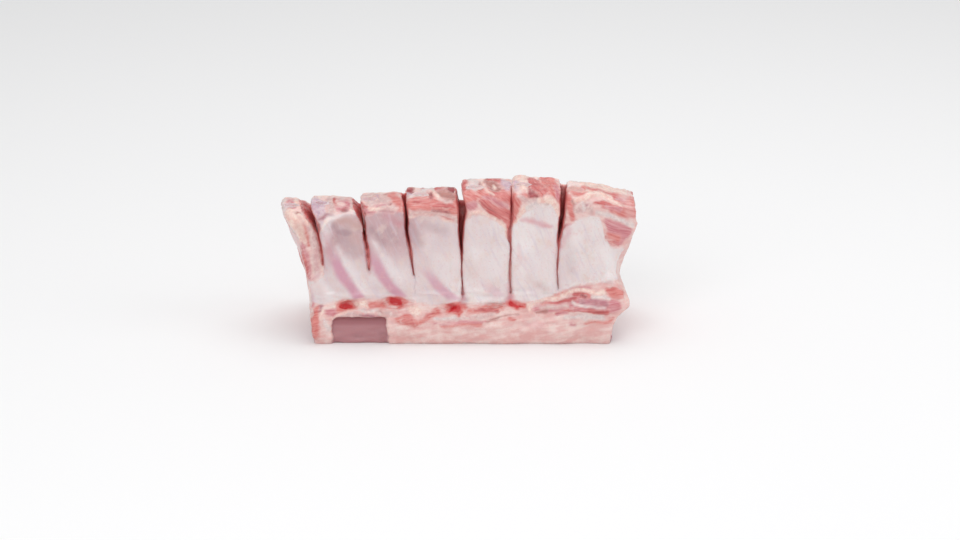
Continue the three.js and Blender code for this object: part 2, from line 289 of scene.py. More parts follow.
def rough(points, size, layers=3, shift=0.0):
    """Noise on noise: each layer half the size and half the strength of the one before."""
    total = np.zeros(len(points))
    for layer in range(layers):
        total += noise(points, np.asarray(size, float) / 2**layer, shift + layer) / 2**layer
    return total


def step(value, low, high):
    """0 below low, 1 above high, smooth between. low may be above high."""
    share = np.clip((value - low) / (high - low), 0, 1)
    return share * share * (3 - 2 * share)


def bell(distance, width):
    return np.exp(-((distance / width) ** 2))


def blend(a, b, share):
    return a + (b - a) * share

# %% [markdown]
# ## One skin for the meat
#
# The plain solids have flat facets, and a bone's own gap round it. Meat has neither: it grips its
# bones. Joining all the solids with voxels closes the gaps and gives small, even faces, which is
# the best start for relief. The bones are swollen a little first, so that they overlap the meat.

# %% Join the solids into one even skin
VOXEL = 0.6
BONE_SWELL = 0.45  # more than the gap that the plain solids keep round a bone
SKIN_ROUNDS = 8  # rounds of smoothing, which melt the facets


def solid_copy(name, nodes, swell):
    """The named solids as one mesh, each grown by its own swell."""
    joined = bmesh.new()
    for node in nodes:
        piece = bmesh.new()
        piece.from_mesh(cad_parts[node].data)
        bmesh.ops.remove_doubles(piece, verts=piece.verts, dist=0.001 * MM)
        piece.normal_update()
        for vert in piece.verts:
            vert.co += vert.normal * swell(node) * MM
        part = bpy.data.meshes.new("part")
        piece.to_mesh(part)
        piece.free()
        joined.from_mesh(part)
        bpy.data.meshes.remove(part)
    mesh = bpy.data.meshes.new(name)
    joined.to_mesh(mesh)
    joined.free()
    solid = bpy.data.objects.new(name, mesh)
    bpy.context.scene.collection.objects.link(solid)
    return solid


def voxel_skin(solid, size):
    """Gives the solid one closed skin of small, even faces."""
    remesh = solid.modifiers.new("voxels", "REMESH")
    remesh.mode = "VOXEL"
    remesh.voxel_size = size * MM
    shaped = solid.evaluated_get(bpy.context.evaluated_depsgraph_get())
    mesh = bpy.data.meshes.new_from_object(shaped)
    solid.modifiers.clear()
    solid.data = mesh
    for face in mesh.polygons:
        face.use_smooth = True


def points_of(mesh):
    values = np.empty(len(mesh.vertices) * 3)
    mesh.vertices.foreach_get("co", values)
    return to_rack(values.reshape(-1, 3))


def normals_of(mesh):
    values = np.empty(len(mesh.vertices) * 3)
    mesh.vertices.foreach_get("normal", values)
    return values.reshape(-1, 3)


def edges_of(mesh):
    values = np.empty(len(mesh.edges) * 2, np.int32)
    mesh.edges.foreach_get("vertices", values)
    return values.reshape(-1, 2)


def set_points(mesh, points):
    mesh.vertices.foreach_set("co", from_rack(points).ravel())
    mesh.update()


def smoothed(values, edges, rounds, strength=0.5):
    """Each point drifts towards the middle of its neighbours, round after round."""
    values = values.copy()
    a, b = edges.T
    count = np.bincount(edges.ravel(), minlength=len(values))
    flat = values.reshape(len(values), -1)
    for _ in range(rounds):
        for column in range(flat.shape[1]):
            v = flat[:, column]
            near = np.bincount(a, v[b], len(v)) + np.bincount(b, v[a], len(v))
            flat[:, column] = v + strength * (near / count - v)
    return values


flesh = solid_copy("rack_flesh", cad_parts, lambda node: 0 if node == "flesh" else BONE_SWELL)
voxel_skin(flesh, VOXEL)
edges = edges_of(flesh.data)
base = smoothed(points_of(flesh.data), edges, SKIN_ROUNDS)
set_points(flesh.data, base)
normals = normals_of(flesh.data)
print("skin:", len(base), "points")

# %% [markdown]
# ## Where everything is
#
# Next come the plain facts about each point of the skin: how deep it lies under each face, which
# chop it is in, and how far it is from the nearest knife cut. `rise` is how high a point looks
# from the camera's side; the inner side's marks are placed by `x` and `rise`.

# %% Depths, chops and cuts
FAN_HEIGHT = 75.0
FAN_POWER = 2.5
# The lines between the chops: each starts on the spine and has spread this far at FAN_HEIGHT.
CHOP_LINES = ((-73.3, -21.5), (-67.5, -12.0), (-44.0, -8.5), (-21.5, -6.0), (3.4, -1.7),
              (28.7, 0.3), (53.2, 1.8), (80.3, 9.0))
# The height at which each cut ends, on the inner side and on the fat side.
CUT_ENDS = ((39, 66), (37, 67.5), (34, 74), (24, 69), (23, 80.5), (27, 79))
CUT_SLOPE = (21.0, 30.0)  # depths between which the end of a cut rises
FAR = 99.0  # stands for a place with no cut near it
WALL = 0.5  # a point this far beside the middle of a cut belongs wholly to one of its walls
# How the knife strayed in each cut: (z, sideways, wider on each side, closed inside).
CUT_STRAYS = (
    ((38, 0.4, -0.25, 0.4), (49, 0.8, -0.1, 0.3), (58, 1.5, 0.1, 0.1), (66, 1.3, 0.3, 0.0),
     (76, 0.0, 0.6, 0.0)),
    ((36, 0.0, -0.4, 0.5), (44, 0.2, 0.3, 0.4), (54, 0.4, 0.0, 0.1), (64, 1.6, 0.0, 0.0),
     (76, 0.6, 0.3, 0.0)),
    ((34, 0.6, -0.5, 0.6), (42, -0.4, -0.3, 0.5), (50, -0.7, -0.1, 0.3), (57, -0.9, 0.0, 0.1),
     (63, -0.4, 0.1, 0.0), (76, 0.6, 0.1, 0.0)),
    ((24, 0.0, -0.6, 0.6), (41, 0.0, -0.5, 0.5), (51, -0.4, 0.0, 0.0), (59, 0.2, 0.6, 0.0),
     (70, 1.0, 0.8, 0.0), (75, 0.7, 0.6, 0.0), (80, -0.2, 0.0, 0.0)),
    ((24, -0.2, -0.2, 0.9), (45, -0.4, -0.2, 0.9), (57, -1.0, -0.2, 0.8), (63, 0.0, -0.4, 0.2),
     (80, 0.1, -0.4, 0.0)),
    ((28, 0.0, -0.5, 0.9), (45, -0.5, -0.3, 0.8), (54, -0.6, 0.0, 0.3), (61, 0.4, 0.3, 0.0),
     (78, 0.5, 0.4, 0.0)),
)


def chop_line(number, z):
    start, spread = CHOP_LINES[number]
    return start + spread * (np.maximum(z, 0) / FAN_HEIGHT) ** FAN_POWER


class Skin:
    """The measures of a cloud of points on or in the rack."""

    def __init__(self, points, normals):
        self.points, self.normals = points, normals
        self.x, self.y, self.z = points.T
        self.rise = points @ CAMERA_TURN[2]
        self.under_seen = points @ CAMERA_TURN[1] - seen_face.at(points)
        self.under_inner = self.y - inner_face.at(points)
        self.under_fat = fat_face.at(points) - self.y
        self.under_top = top_face.at(points) - self.z
        self.seen = step(-normals @ CAMERA_TURN[1], 0.0, 0.15)
        lines = np.array([chop_line(i, self.z) for i in range(len(CHOP_LINES))])
        self.chop = np.clip((self.x > lines[1:-1]).sum(axis=0), 0, 6)
        depth_share = np.clip((self.y - CUT_SLOPE[0]) / (CUT_SLOPE[1] - CUT_SLOPE[0]), 0, 1)
        self.from_cut = np.full(len(points), FAR)
        self.stray, self.wider, self.closed, self.side = np.zeros((4, len(points)))
        for line, (end, back), strays in zip(lines[1:-1], CUT_ENDS, CUT_STRAYS):
            below = np.maximum(blend(end, back, depth_share) - self.z, 0)
            off = np.hypot(self.x - line, 2 * below)
            nearer = off < self.from_cut
            heights, *values = np.array(strays).T
            for measure, value in zip((self.stray, self.wider, self.closed), values):
                measure[nearer] = np.interp(self.z, heights, value)[nearer]
            self.side[nearer] = np.clip((self.x - line)[nearer] / WALL, -1, 1)
            self.from_cut = np.minimum(self.from_cut, off)
        off_cut = step(self.from_cut, 6, 9)
        self.left_end = (self.chop == 0) * off_cut * step(-normals[:, 0], 0.2, 0.5)
        self.right_end = (self.chop == 6) * off_cut * step(normals[:, 0], 0.2, 0.5)


skin = Skin(base, normals)
print("points on each chop:", np.bincount(skin.chop).tolist())

# %% [markdown]
# ## Marks on the inner side
#
# No two chops look alike. What tells them apart are the patches of tissue on their sawn tops and
# along the backbone. Each patch is a stroke: a kind of tissue and a line of places
# (x, rise, half width). A stroke gives a value in millimetres, above 0 inside it and below 0
# outside. They are laid down in order, and each one cuts away what lies under it, so two tissues
# share one border. The place is bent by noise first, which makes every border ragged.
#
# `lean` is red muscle, `salmon` muscle under a film of fat, `rose` muscle under silverskin, `deep`
# dark blood-red muscle, `brown` drying muscle, `cream` fat, `pearl` tendon, `veil` thin fat over
# meat, `lilac` cartilage, `mauve` purple silverskin, and `marrow` the raw red inside of a bone.

# %% Tissue strokes
TISSUES = ("lean", "salmon", "rose", "deep", "brown", "cream",
           "pearl", "veil", "lilac", "mauve", "marrow")

CHOP_1_STROKES = (
    ("pearl", ((-91.4, 75.5, 1.6), (-89.6, 69, 1.6), (-86.4, 61, 1.2), (-84, 55, 0.8))),
    ("cream", ((-86.4, 69, 2.2), (-83.4, 62, 2.6), (-81, 55, 2))),
    ("veil", ((-77.2, 62, 1.6), (-75, 54, 2), (-74, 46, 1.8), (-73.6, 39, 1.6))),
    ("salmon", ((-80.4, 62, 0.6), (-79, 57, 1.1), (-77.8, 52.6, 0.8))),
    ("rose", ((-80.6, 53, 0.8), (-78.4, 47, 0.8))),
    ("rose", ((-88, 75.8, 1.2), (-86.4, 74.4, 2.1), (-85.4, 72.6, 1.6))),
    ("deep", ((-86.3, 72.9, 1),)),
    ("cream", ((-84, 76, 1), (-82.6, 72.6, 1))),
    ("brown", ((-83.4, 68.6, 1), (-82.4, 68.2, 0.8))),
    ("cream", ((-82.6, 67.6, 0.8), (-80.2, 66.6, 0.8), (-79, 63.4, 0.8))),
    ("lean", ((-82.8, 76, 0.8), (-80.2, 71.8, 1.3), (-77.6, 67.6, 1.2), (-75.6, 64.4, 1.2),
              (-73.8, 61.4, 1))),
    ("deep", ((-81, 72.8, 0.5), (-78.6, 69, 0.8), (-77.2, 66.4, 0.6))),
    ("deep", ((-75.4, 65, 0.8), (-73.4, 62.6, 1.2), (-73, 60.8, 0.8))),
    ("rose", ((-81.4, 53.4, 0.9), (-79.6, 46.4, 2.2), (-77.9, 39, 2), (-77.3, 32, 1.3))),
    ("lean", ((-81, 50.4, 0.6), (-79.2, 44.4, 1.2), (-78, 38.4, 1.1), (-77.4, 35, 0.7))),
    ("rose", ((-75.2, 35, 0.4), (-73.2, 36.2, 0.9), (-72, 38, 0.6))),
    ("rose", ((-76.2, 27.6, 0.5), (-75.2, 23.4, 0.9), (-75.4, 20.4, 0.7))),
    ("salmon", ((-71.8, 20.6, 1), (-73, 16.6, 1.8), (-73.6, 11.6, 2.3), (-74.2, 6, 2.4))),
    ("mauve", ((-71, 20, 0.9), (-70.8, 18.2, 0.6))),
    ("cream", ((-69.9, 17.6, 0.7), (-70.6, 13.6, 0.7))),
    ("pearl", ((-68, 12, 1.2), (-66.8, 9, 1.6))),
)
CHOP_2_STROKES = (
    ("rose", ((-77.4, 75.4, 1.2), (-75.6, 74, 1))),
    ("lilac", ((-74.6, 75.4, 2.6), (-72.6, 72.4, 4.2), (-71.4, 69.4, 3))),
    ("lilac", ((-73.2, 66.6, 1.4), (-70.6, 65.4, 1.6), (-70.8, 62.8, 0.9))),
    ("mauve", ((-73.4, 66.2, 0.7), (-70.4, 66.2, 1.3), (-67.8, 67.4, 1.7), (-65, 67.6, 1))),
    ("veil", ((-66.6, 76, 1.6), (-65.4, 71.4, 2.2))),
    ("lean", ((-63.8, 76.6, 0.8), (-63.5, 74, 0.8))),
    ("rose", ((-61.2, 76.4, 1), (-57.4, 74.4, 1.8))),
    ("veil", ((-60.4, 76.6, 0.9), (-55.8, 76.4, 1), (-54.4, 73.4, 1.2))),
    ("rose", ((-62.2, 71.6, 1.1), (-59, 70.4, 2.3), (-56.8, 69.8, 1.1))),
    ("deep", ((-60, 70.6, 1.1), (-58.4, 70, 1.1))),
    ("lean", ((-55, 77.4, 0.9), (-52.6, 74.6, 1.7), (-49.8, 71.8, 1.9), (-47.6, 71.4, 1.4))),
    ("deep", ((-54, 75.8, 0.6), (-51.6, 73, 1), (-49.4, 70, 1.1), (-49, 68.2, 0.8))),
    ("rose", ((-47.4, 69.2, 1), (-43, 68.8, 0.7))),
    ("cream", ((-55.6, 70.4, 1), (-52.6, 69.4, 1.3), (-50.8, 66, 0.9), (-50.4, 60, 0.7))),
    ("cream", ((-71.4, 60, 0.8), (-68.6, 64.6, 1.1), (-62.6, 66.8, 1), (-56.6, 68.4, 0.9))),
)
CHOP_3_STROKES = (
    ("veil", ((-48.4, 77.6, 1.8), (-44, 76.4, 3.4), (-38, 75.4, 3))),
    ("lilac", ((-41.4, 78.6, 0.8), (-40.8, 76.6, 0.9))),
    ("rose", ((-49, 70.2, 0.6), (-46, 69.6, 1), (-43, 69, 0.8))),
    ("rose", ((-43, 72.6, 0.5), (-37, 73.4, 0.8))),
    ("salmon", ((-36, 79, 1.2), (-32.6, 77.4, 2.2), (-30.4, 74.6, 2), (-30, 69, 1))),
    ("brown", ((-36.9, 78.2, 0.9),)),
    ("deep", ((-34.9, 73.8, 0.7),)),
    ("veil", ((-44, 71.4, 0.8), (-38.4, 71.6, 0.8), (-31, 71, 0.8))),
    ("mauve", ((-39, 70, 0.5), (-33, 69.8, 0.6))),
    ("cream", ((-46, 70.8, 0.6), (-40, 71.2, 0.8))),
    ("rose", ((-36, 67.2, 0.9), (-30.6, 66.6, 1.4))),
)
CHOP_4_STROKES = (
    ("salmon", ((-26, 75, 4), (-14, 74, 6), (-1, 74, 6))),
    ("lean", ((-12.6, 78.8, 0.6), (-14.6, 75.8, 1.2), (-22, 74.2, 0.9))),
    ("lean", ((-12, 72.6, 1.2), (-6, 73, 1.5), (-1, 72, 1))),
    ("lean", ((-10.6, 82, 1), (-6, 81.2, 1.2))),
    ("rose", ((-10, 80.6, 0.8), (-5.6, 81, 0.8))),
    ("lilac", ((-26, 79.2, 0.9), (-23.6, 79, 1.1))),
    ("deep", ((-27, 81.8, 1.3), (-24, 81.2, 1.6))),
    ("pearl", ((-25.6, 77.2, 0.6), (-21, 78.4, 1.2), (-16.4, 81, 1.4), (-13, 82.4, 1))),
    ("mauve", ((-17.7, 82.9, 0.9),)),
    ("deep", ((-13.4, 79.4, 0.6), (-13, 77.4, 0.9))),
    ("cream", ((-12, 80.4, 0.7), (-10.4, 78.2, 0.8), (-8.8, 76.4, 0.7))),
    ("brown", ((-8.9, 79.4, 1.2), (-6.6, 79, 1.8), (-4.4, 78, 2.6), (-2, 76.4, 1.5))),
    ("veil", ((-8.4, 76.4, 0.7), (-5.6, 75, 0.7), (-2.6, 74.4, 0.5))),
    ("deep", ((-3.6, 82.4, 1.9), (-1.6, 81.6, 1.8))),
    ("veil", ((-25.4, 67.4, 1), (-20.4, 68.8, 1.2), (-13, 69.4, 0.8), (-9, 68.4, 0.6))),
    ("cream", ((-26, 66.4, 0.4), (-20.4, 67.8, 0.5), (-14, 68.4, 0.4))),
    ("rose", ((-22, 68.4, 0.5), (-14, 68.4, 0.5))),
    ("deep", ((-12.8, 69.9, 0.5), (-6, 69.5, 0.6), (-4.6, 68.8, 0.4))),
    ("veil", ((-12, 68.2, 0.6), (-5, 67.6, 0.8), (0.4, 65.6, 0.9))),
    ("lean", ((-8, 67, 0.5), (-5.2, 66.1, 0.8), (-1, 65.4, 0.4))),
    ("cream", ((-10, 66.8, 0.3), (-5, 65, 0.4), (0.6, 63.6, 0.4))),
)
CHOP_5_STROKES = (
    ("salmon", ((5, 77, 3.4), (12, 79.6, 3.4), (20, 79, 4), (26.6, 76, 4))),
    ("rose", ((5.4, 72.4, 1.8), (8.6, 73.4, 2))),
    ("lean", ((4.6, 86, 1.3), (4, 81.6, 1.5))),
    ("pearl", ((7.4, 86.8, 1.8), (9.4, 84.8, 2.4), (9.8, 82.6, 1.8))),
    ("brown", ((15.8, 85.6, 1.2), (18.4, 84.4, 2.3), (21.4, 81.8, 1.9))),
    ("lean", ((16.6, 86.6, 0.8), (22.4, 86.4, 0.9))),
    ("cream", ((19.4, 83.4, 0.5), (20.4, 82.4, 0.5))),
    ("lilac", ((24.4, 85.4, 1.6), (26.8, 83.8, 2), (26.6, 81.2, 1.2))),
    ("lean", ((19, 78.4, 1.8), (23, 77.4, 2.6), (28, 76, 2.4))),
    ("rose", ((14, 77.2, 0.6), (20, 75, 1.2), (26, 72.4, 1))),
    ("lean", ((11.6, 75.4, 1), (16, 73, 2.5), (22, 69.9, 3.2), (28, 66.6, 3.4))),
    ("cream", ((13.4, 85, 0.5), (15.4, 81.8, 0.5), (18, 79.4, 0.6), (19.6, 77.9, 0.5))),
    ("deep", ((12.4, 84.2, 0.9), (13.2, 82.4, 0.7))),
    ("lean", ((27.2, 63.6, 1.4), (28, 60, 1), (28.2, 53, 0.7))),
    ("cream", ((5.2, 67.6, 0.6), (8, 69.6, 0.9), (12, 69.4, 0.8), (17.4, 68, 0.6))),
    ("cream", ((17.4, 68, 0.6), (22, 65.6, 0.7), (25.4, 62.4, 0.7), (26.8, 57, 0.6))),
)
CHOP_6_STROKES = (
    ("salmon", ((46.4, 86.4, 3), (50.2, 82, 4.4), (53, 77, 3.4), (54.2, 71.5, 1.6))),
    ("rose", ((51.6, 83, 1.4), (53.4, 77, 1.6))),
    ("salmon", ((30.2, 78.8, 1.6), (31.8, 74.6, 2.6), (30.8, 69.6, 1.8))),
    ("salmon", ((35, 77.4, 1.8), (43, 77.4, 1.6))),
    ("cream", ((31.6, 87.4, 1.6), (35, 87.2, 1.8), (35.6, 81.6, 1.5))),
    ("lilac", ((31.2, 84.8, 1.2), (31.6, 82.2, 1.1))),
    ("lean", ((38, 86.4, 1.6), (40.6, 83.8, 3.1), (44.6, 80.6, 2.6))),
    ("deep", ((38.2, 82, 0.5), (38.8, 79.8, 0.9), (39.4, 78.5, 1.9), (42, 77.4, 0.9))),
    ("veil", ((33.4, 77.4, 1), (37.4, 75.4, 1.4), (43.6, 75.4, 1))),
    ("cream", ((30.6, 63.6, 0.7), (33.4, 68.6, 0.9), (36.6, 72.8, 1.2))),
    ("pearl", ((37.4, 72.4, 1.8), (42, 73.4, 2), (47, 73.4, 1.8))),
    ("cream", ((43.4, 75.6, 1.2), (47.4, 76, 1.8), (50.4, 74, 2), (52.2, 70.8, 1.6),
               (53.8, 67.8, 0.9))),
    ("brown", ((47.2, 73.4, 0.7),)),
)
CHOP_7_STROKES = (
    ("salmon", ((58, 82.6, 2.2), (63, 80, 2.4), (70, 79.6, 1.6))),
    ("cream", ((57, 85, 2), (64, 84.8, 1.9), (76, 83, 1.8), (88, 81, 1.8))),
    ("salmon", ((82, 78.6, 2.4), (91, 75.4, 3.2))),
    ("lean", ((62.8, 82.8, 0.5), (70, 81.6, 0.9), (78.6, 79.8, 1.3), (84, 78, 1.6))),
    ("rose", ((84, 77.6, 0.8), (87, 76.8, 0.9))),
    ("cream", ((63, 81.4, 0.5), (70, 80.2, 0.5))),
    ("salmon", ((58.4, 76.4, 2.2), (58.2, 71, 2), (60, 66.6, 1.4))),
    ("brown", ((60.6, 75, 0.9), (61.4, 72.4, 1))),
    ("veil", ((62.4, 71.4, 2), (68, 72.8, 2.6), (70.4, 69.4, 1.4))),
    ("pearl", ((65.4, 74.8, 0.9), (66.6, 71, 0.9))),
    ("mauve", ((67.9, 73, 1),)),
    ("lean", ((71.8, 73.8, 0.6), (76.4, 73.6, 1.8), (83, 71.6, 2.7))),
    ("salmon", ((84, 71, 2.6), (91, 69.2, 3.2))),
    ("rose", ((78, 72.2, 0.9), (85.4, 71.2, 1.1))),
    ("cream", ((62, 75.6, 1), (65.7, 76.8, 1.3), (70, 78.6, 1.4), (75.4, 79, 1.6))),
    ("cream", ((75.4, 79, 1.6), (79.7, 77.4, 1.5), (83.6, 74.6, 0.9), (86.4, 72.8, 0.4))),
    ("pearl", ((73.6, 69, 0.9), (80.6, 67.7, 1.1), (84.9, 66.2, 1), (92, 62.8, 1))),
    ("rose", ((78.6, 64.6, 1.4), (82.4, 61.6, 4), (87, 59.4, 4.2), (85, 55.4, 2.4))),
    ("salmon", ((79.6, 57.4, 1.6), (84, 56, 2.2))),
    ("lean", ((82, 54.2, 0.4), (84.8, 52.9, 0.6))),
    ("rose", ((57.6, 62, 1), (60.4, 62.8, 0.6))),
    ("brown", ((56, 61.2, 0.9), (56.6, 60, 0.8))),
    ("mauve", ((62.4, 60.8, 0.8),)),
)
BACKBONE_STROKES = (
    ("cream", ((-66, 18, 1), (-62.4, 21, 0.9), (-58, 23.8, 0.6))),
    ("rose", ((-66.6, 16.8, 1.6), (-63.6, 17.6, 2), (-61.6, 19, 1.4))),
    ("cream", ((-52, 22, 1.2), (-48, 21.6, 1.8), (-46.4, 20.4, 1.2))),
    ("salmon", ((-45, 21, 1.5), (-38.6, 21.2, 1.6))),
    ("cream", ((-64.4, 14.6, 0.6), (-60, 16.6, 0.8), (-54, 17.6, 0.6))),
    ("veil", ((-62.4, 14.6, 0.8), (-56, 15.8, 1.3), (-50.6, 15.4, 1.1))),
    ("mauve", ((-50.4, 15.2, 0.8), (-46, 15.8, 1.2), (-41, 14.8, 0.9))),
    ("pearl", ((-51, 18.4, 0.6), (-46, 17.8, 0.6), (-40.8, 18.6, 0.7))),
    ("veil", ((-39.4, 16.6, 1.4), (-32, 16.4, 1.4))),
    ("brown", ((-39.6, 18, 0.5), (-38.6, 16.6, 0.5))),
    ("salmon", ((-30, 13, 1.6), (-25.4, 13.4, 3.2), (-21.6, 11.8, 2))),
    ("lean", ((-27.6, 13, 1.2), (-24.4, 14, 2.2), (-22.4, 12, 1.2))),
    ("cream", ((-24, 19, 1.4), (-20.6, 18.2, 2.4))),
    ("salmon", ((-19, 12.4, 0.9), (-14, 15.4, 1.5), (-9.6, 18.2, 1.6))),
    ("lean", ((-15.4, 15.4, 0.4), (-11, 17.6, 0.7))),
    ("salmon", ((6.6, 18.2, 0.9), (14, 19, 1.6), (23, 19.8, 1.5))),
    ("lean", ((10, 18.4, 0.8), (15.6, 18.4, 1.2), (21.6, 18.2, 0.9))),
    ("pearl", ((-11, 14, 0.8), (-4, 14.4, 1), (4, 14.4, 0.8))),
    ("veil", ((4, 14.4, 0.9), (12, 14.6, 1.2), (19, 16, 1))),
    ("salmon", ((-8, 10.6, 0.6), (2, 11.2, 0.9), (13, 11, 0.8))),
    ("rose", ((-11.4, 11.4, 0.4), (-3.7, 12.2, 0.5), (9.9, 12.2, 0.5), (16.4, 12.4, 0.5))),
    ("brown", ((16.4, 12.4, 0.4), (22.5, 14.8, 0.4), (27, 16.2, 0.3), (32.4, 16.6, 0.3))),
    ("salmon", ((28, 13.6, 1.2), (30, 13.4, 1))),
    ("salmon", ((-28.8, 22.6, 1.8), (-26.8, 22.6, 1.6))),
    ("salmon", ((4, 20.2, 1.8), (5, 19.4, 1.2))),
    ("salmon", ((26, 21.8, 1), (30, 23.4, 0.8), (36.6, 20.8, 1.6))),
    ("cream", ((38.4, 21.2, 1.4), (38.6, 18.6, 1.2))),
    ("salmon", ((-61.4, 18.8, 1.6), (-54, 18.4, 1.4))),
    ("salmon", ((-61, 21.4, 2.2), (-57.4, 20.8, 3.2), (-54.6, 20, 2.8))),
    ("salmon", ((-34, 23.2, 2.8), (-30.2, 22.7, 3.6))),
    ("salmon", ((-3.2, 20.2, 2.6), (1.4, 19.4, 3.3))),
    ("marrow", ((-60, 21.2, 1.8), (-57.4, 20.6, 2.5), (-55.4, 20, 2))),
    ("marrow", ((-33.2, 23.2, 2.5), (-30.6, 22.7, 2.7))),
    ("marrow", ((-2.4, 20, 2.3), (1, 19.4, 2.5))),
    ("marrow", ((1.6, 16.8, 1), (1.4, 15.2, 0.7))),
    ("marrow", ((29.2, 22, 1.9), (31.4, 21, 1.8), (35, 20.6, 1))),
)
STRIP_STROKES = (
    ("rose", ((42, 19, 1.4), (50, 19.8, 2.2), (60, 21.4, 3.4), (72, 21.4, 4.4), (82, 21, 3.8))),
    ("veil", ((44, 19.6, 0.6), (52, 20, 0.8), (58, 20.6, 0.8))),
    ("lean", ((44.6, 21, 0.6), (53.5, 22.3, 1), (60.5, 23.8, 1.2), (63, 24.4, 1))),
    ("brown", ((42.4, 17.3, 0.5), (47.4, 18.3, 0.8))),
    ("lean", ((62, 26, 1.2), (66, 26.6, 2), (70, 25.6, 1.4))),
    ("deep", ((65.8, 26, 0.6), (67.6, 25.6, 0.7))),
    ("cream", ((38, 22.2, 0.6), (46.4, 23.7, 0.8), (53.4, 24.9, 1), (58.6, 27.3, 1), (63.8, 28.9, 1))),
    ("cream", ((63.8, 28.9, 1), (69.9, 28.9, 0.9), (73.4, 27.6, 1), (77.6, 28.6, 1.2))),
    ("pearl", ((71.6, 25.6, 1), (76.6, 25.8, 1.4), (79.4, 24.6, 1))),
    ("mauve", ((66.4, 22.8, 1.2), (71.6, 22.4, 2.2), (77.4, 22, 2))),
    ("deep", ((70.6, 22.4, 0.3), (74, 22.2, 0.4))),
    ("pearl", ((60.6, 22.6, 0.5), (63.8, 21.2, 0.7), (69.9, 20.5, 0.5), (77.6, 19.9, 0.3))),
    ("lean", ((53, 16.9, 0.6), (58.2, 18.2, 1.1), (62.9, 19.2, 1.4), (69.9, 18.2, 1.6),
              (78.6, 17.8, 1.8))),
    ("rose", ((60, 19.2, 0.4), (68, 18.8, 0.4))),
    ("rose", ((52.6, 16.6, 0.5), (58, 16.9, 0.7))),
    ("pearl", ((57, 14.6, 0.9), (66, 14.8, 1.2), (77, 14.6, 1.1))),
    ("rose", ((60.4, 11.2, 0.8), (62.2, 11, 0.7))),
    ("salmon", ((68, 11.8, 0.6), (74, 12, 0.9), (81.4, 13.4, 0.8))),
    ("salmon", ((79.8, 29, 1.8), (82.6, 27.8, 3.2), (86.4, 27.4, 2.2))),
    ("rose", ((57, 30.4, 0.9), (59.4, 31.2, 1.8), (61, 32, 0.9))),
    ("rose", ((80, 22.6, 0.6), (85, 20.6, 0.7))),
    ("salmon", ((51.4, 28, 0.7), (53.4, 26.8, 0.9), (57, 28.4, 0.5))),
    ("rose", ((62.4, 30.6, 0.4), (70, 30.4, 0.6))),
    ("salmon", ((77.6, 38.2, 1), (80.4, 36.4, 1.2))),
)
STROKES = (CHOP_1_STROKES + CHOP_2_STROKES + CHOP_3_STROKES + CHOP_4_STROKES + CHOP_5_STROKES
           + CHOP_6_STROKES + CHOP_7_STROKES + BACKBONE_STROKES + STRIP_STROKES)

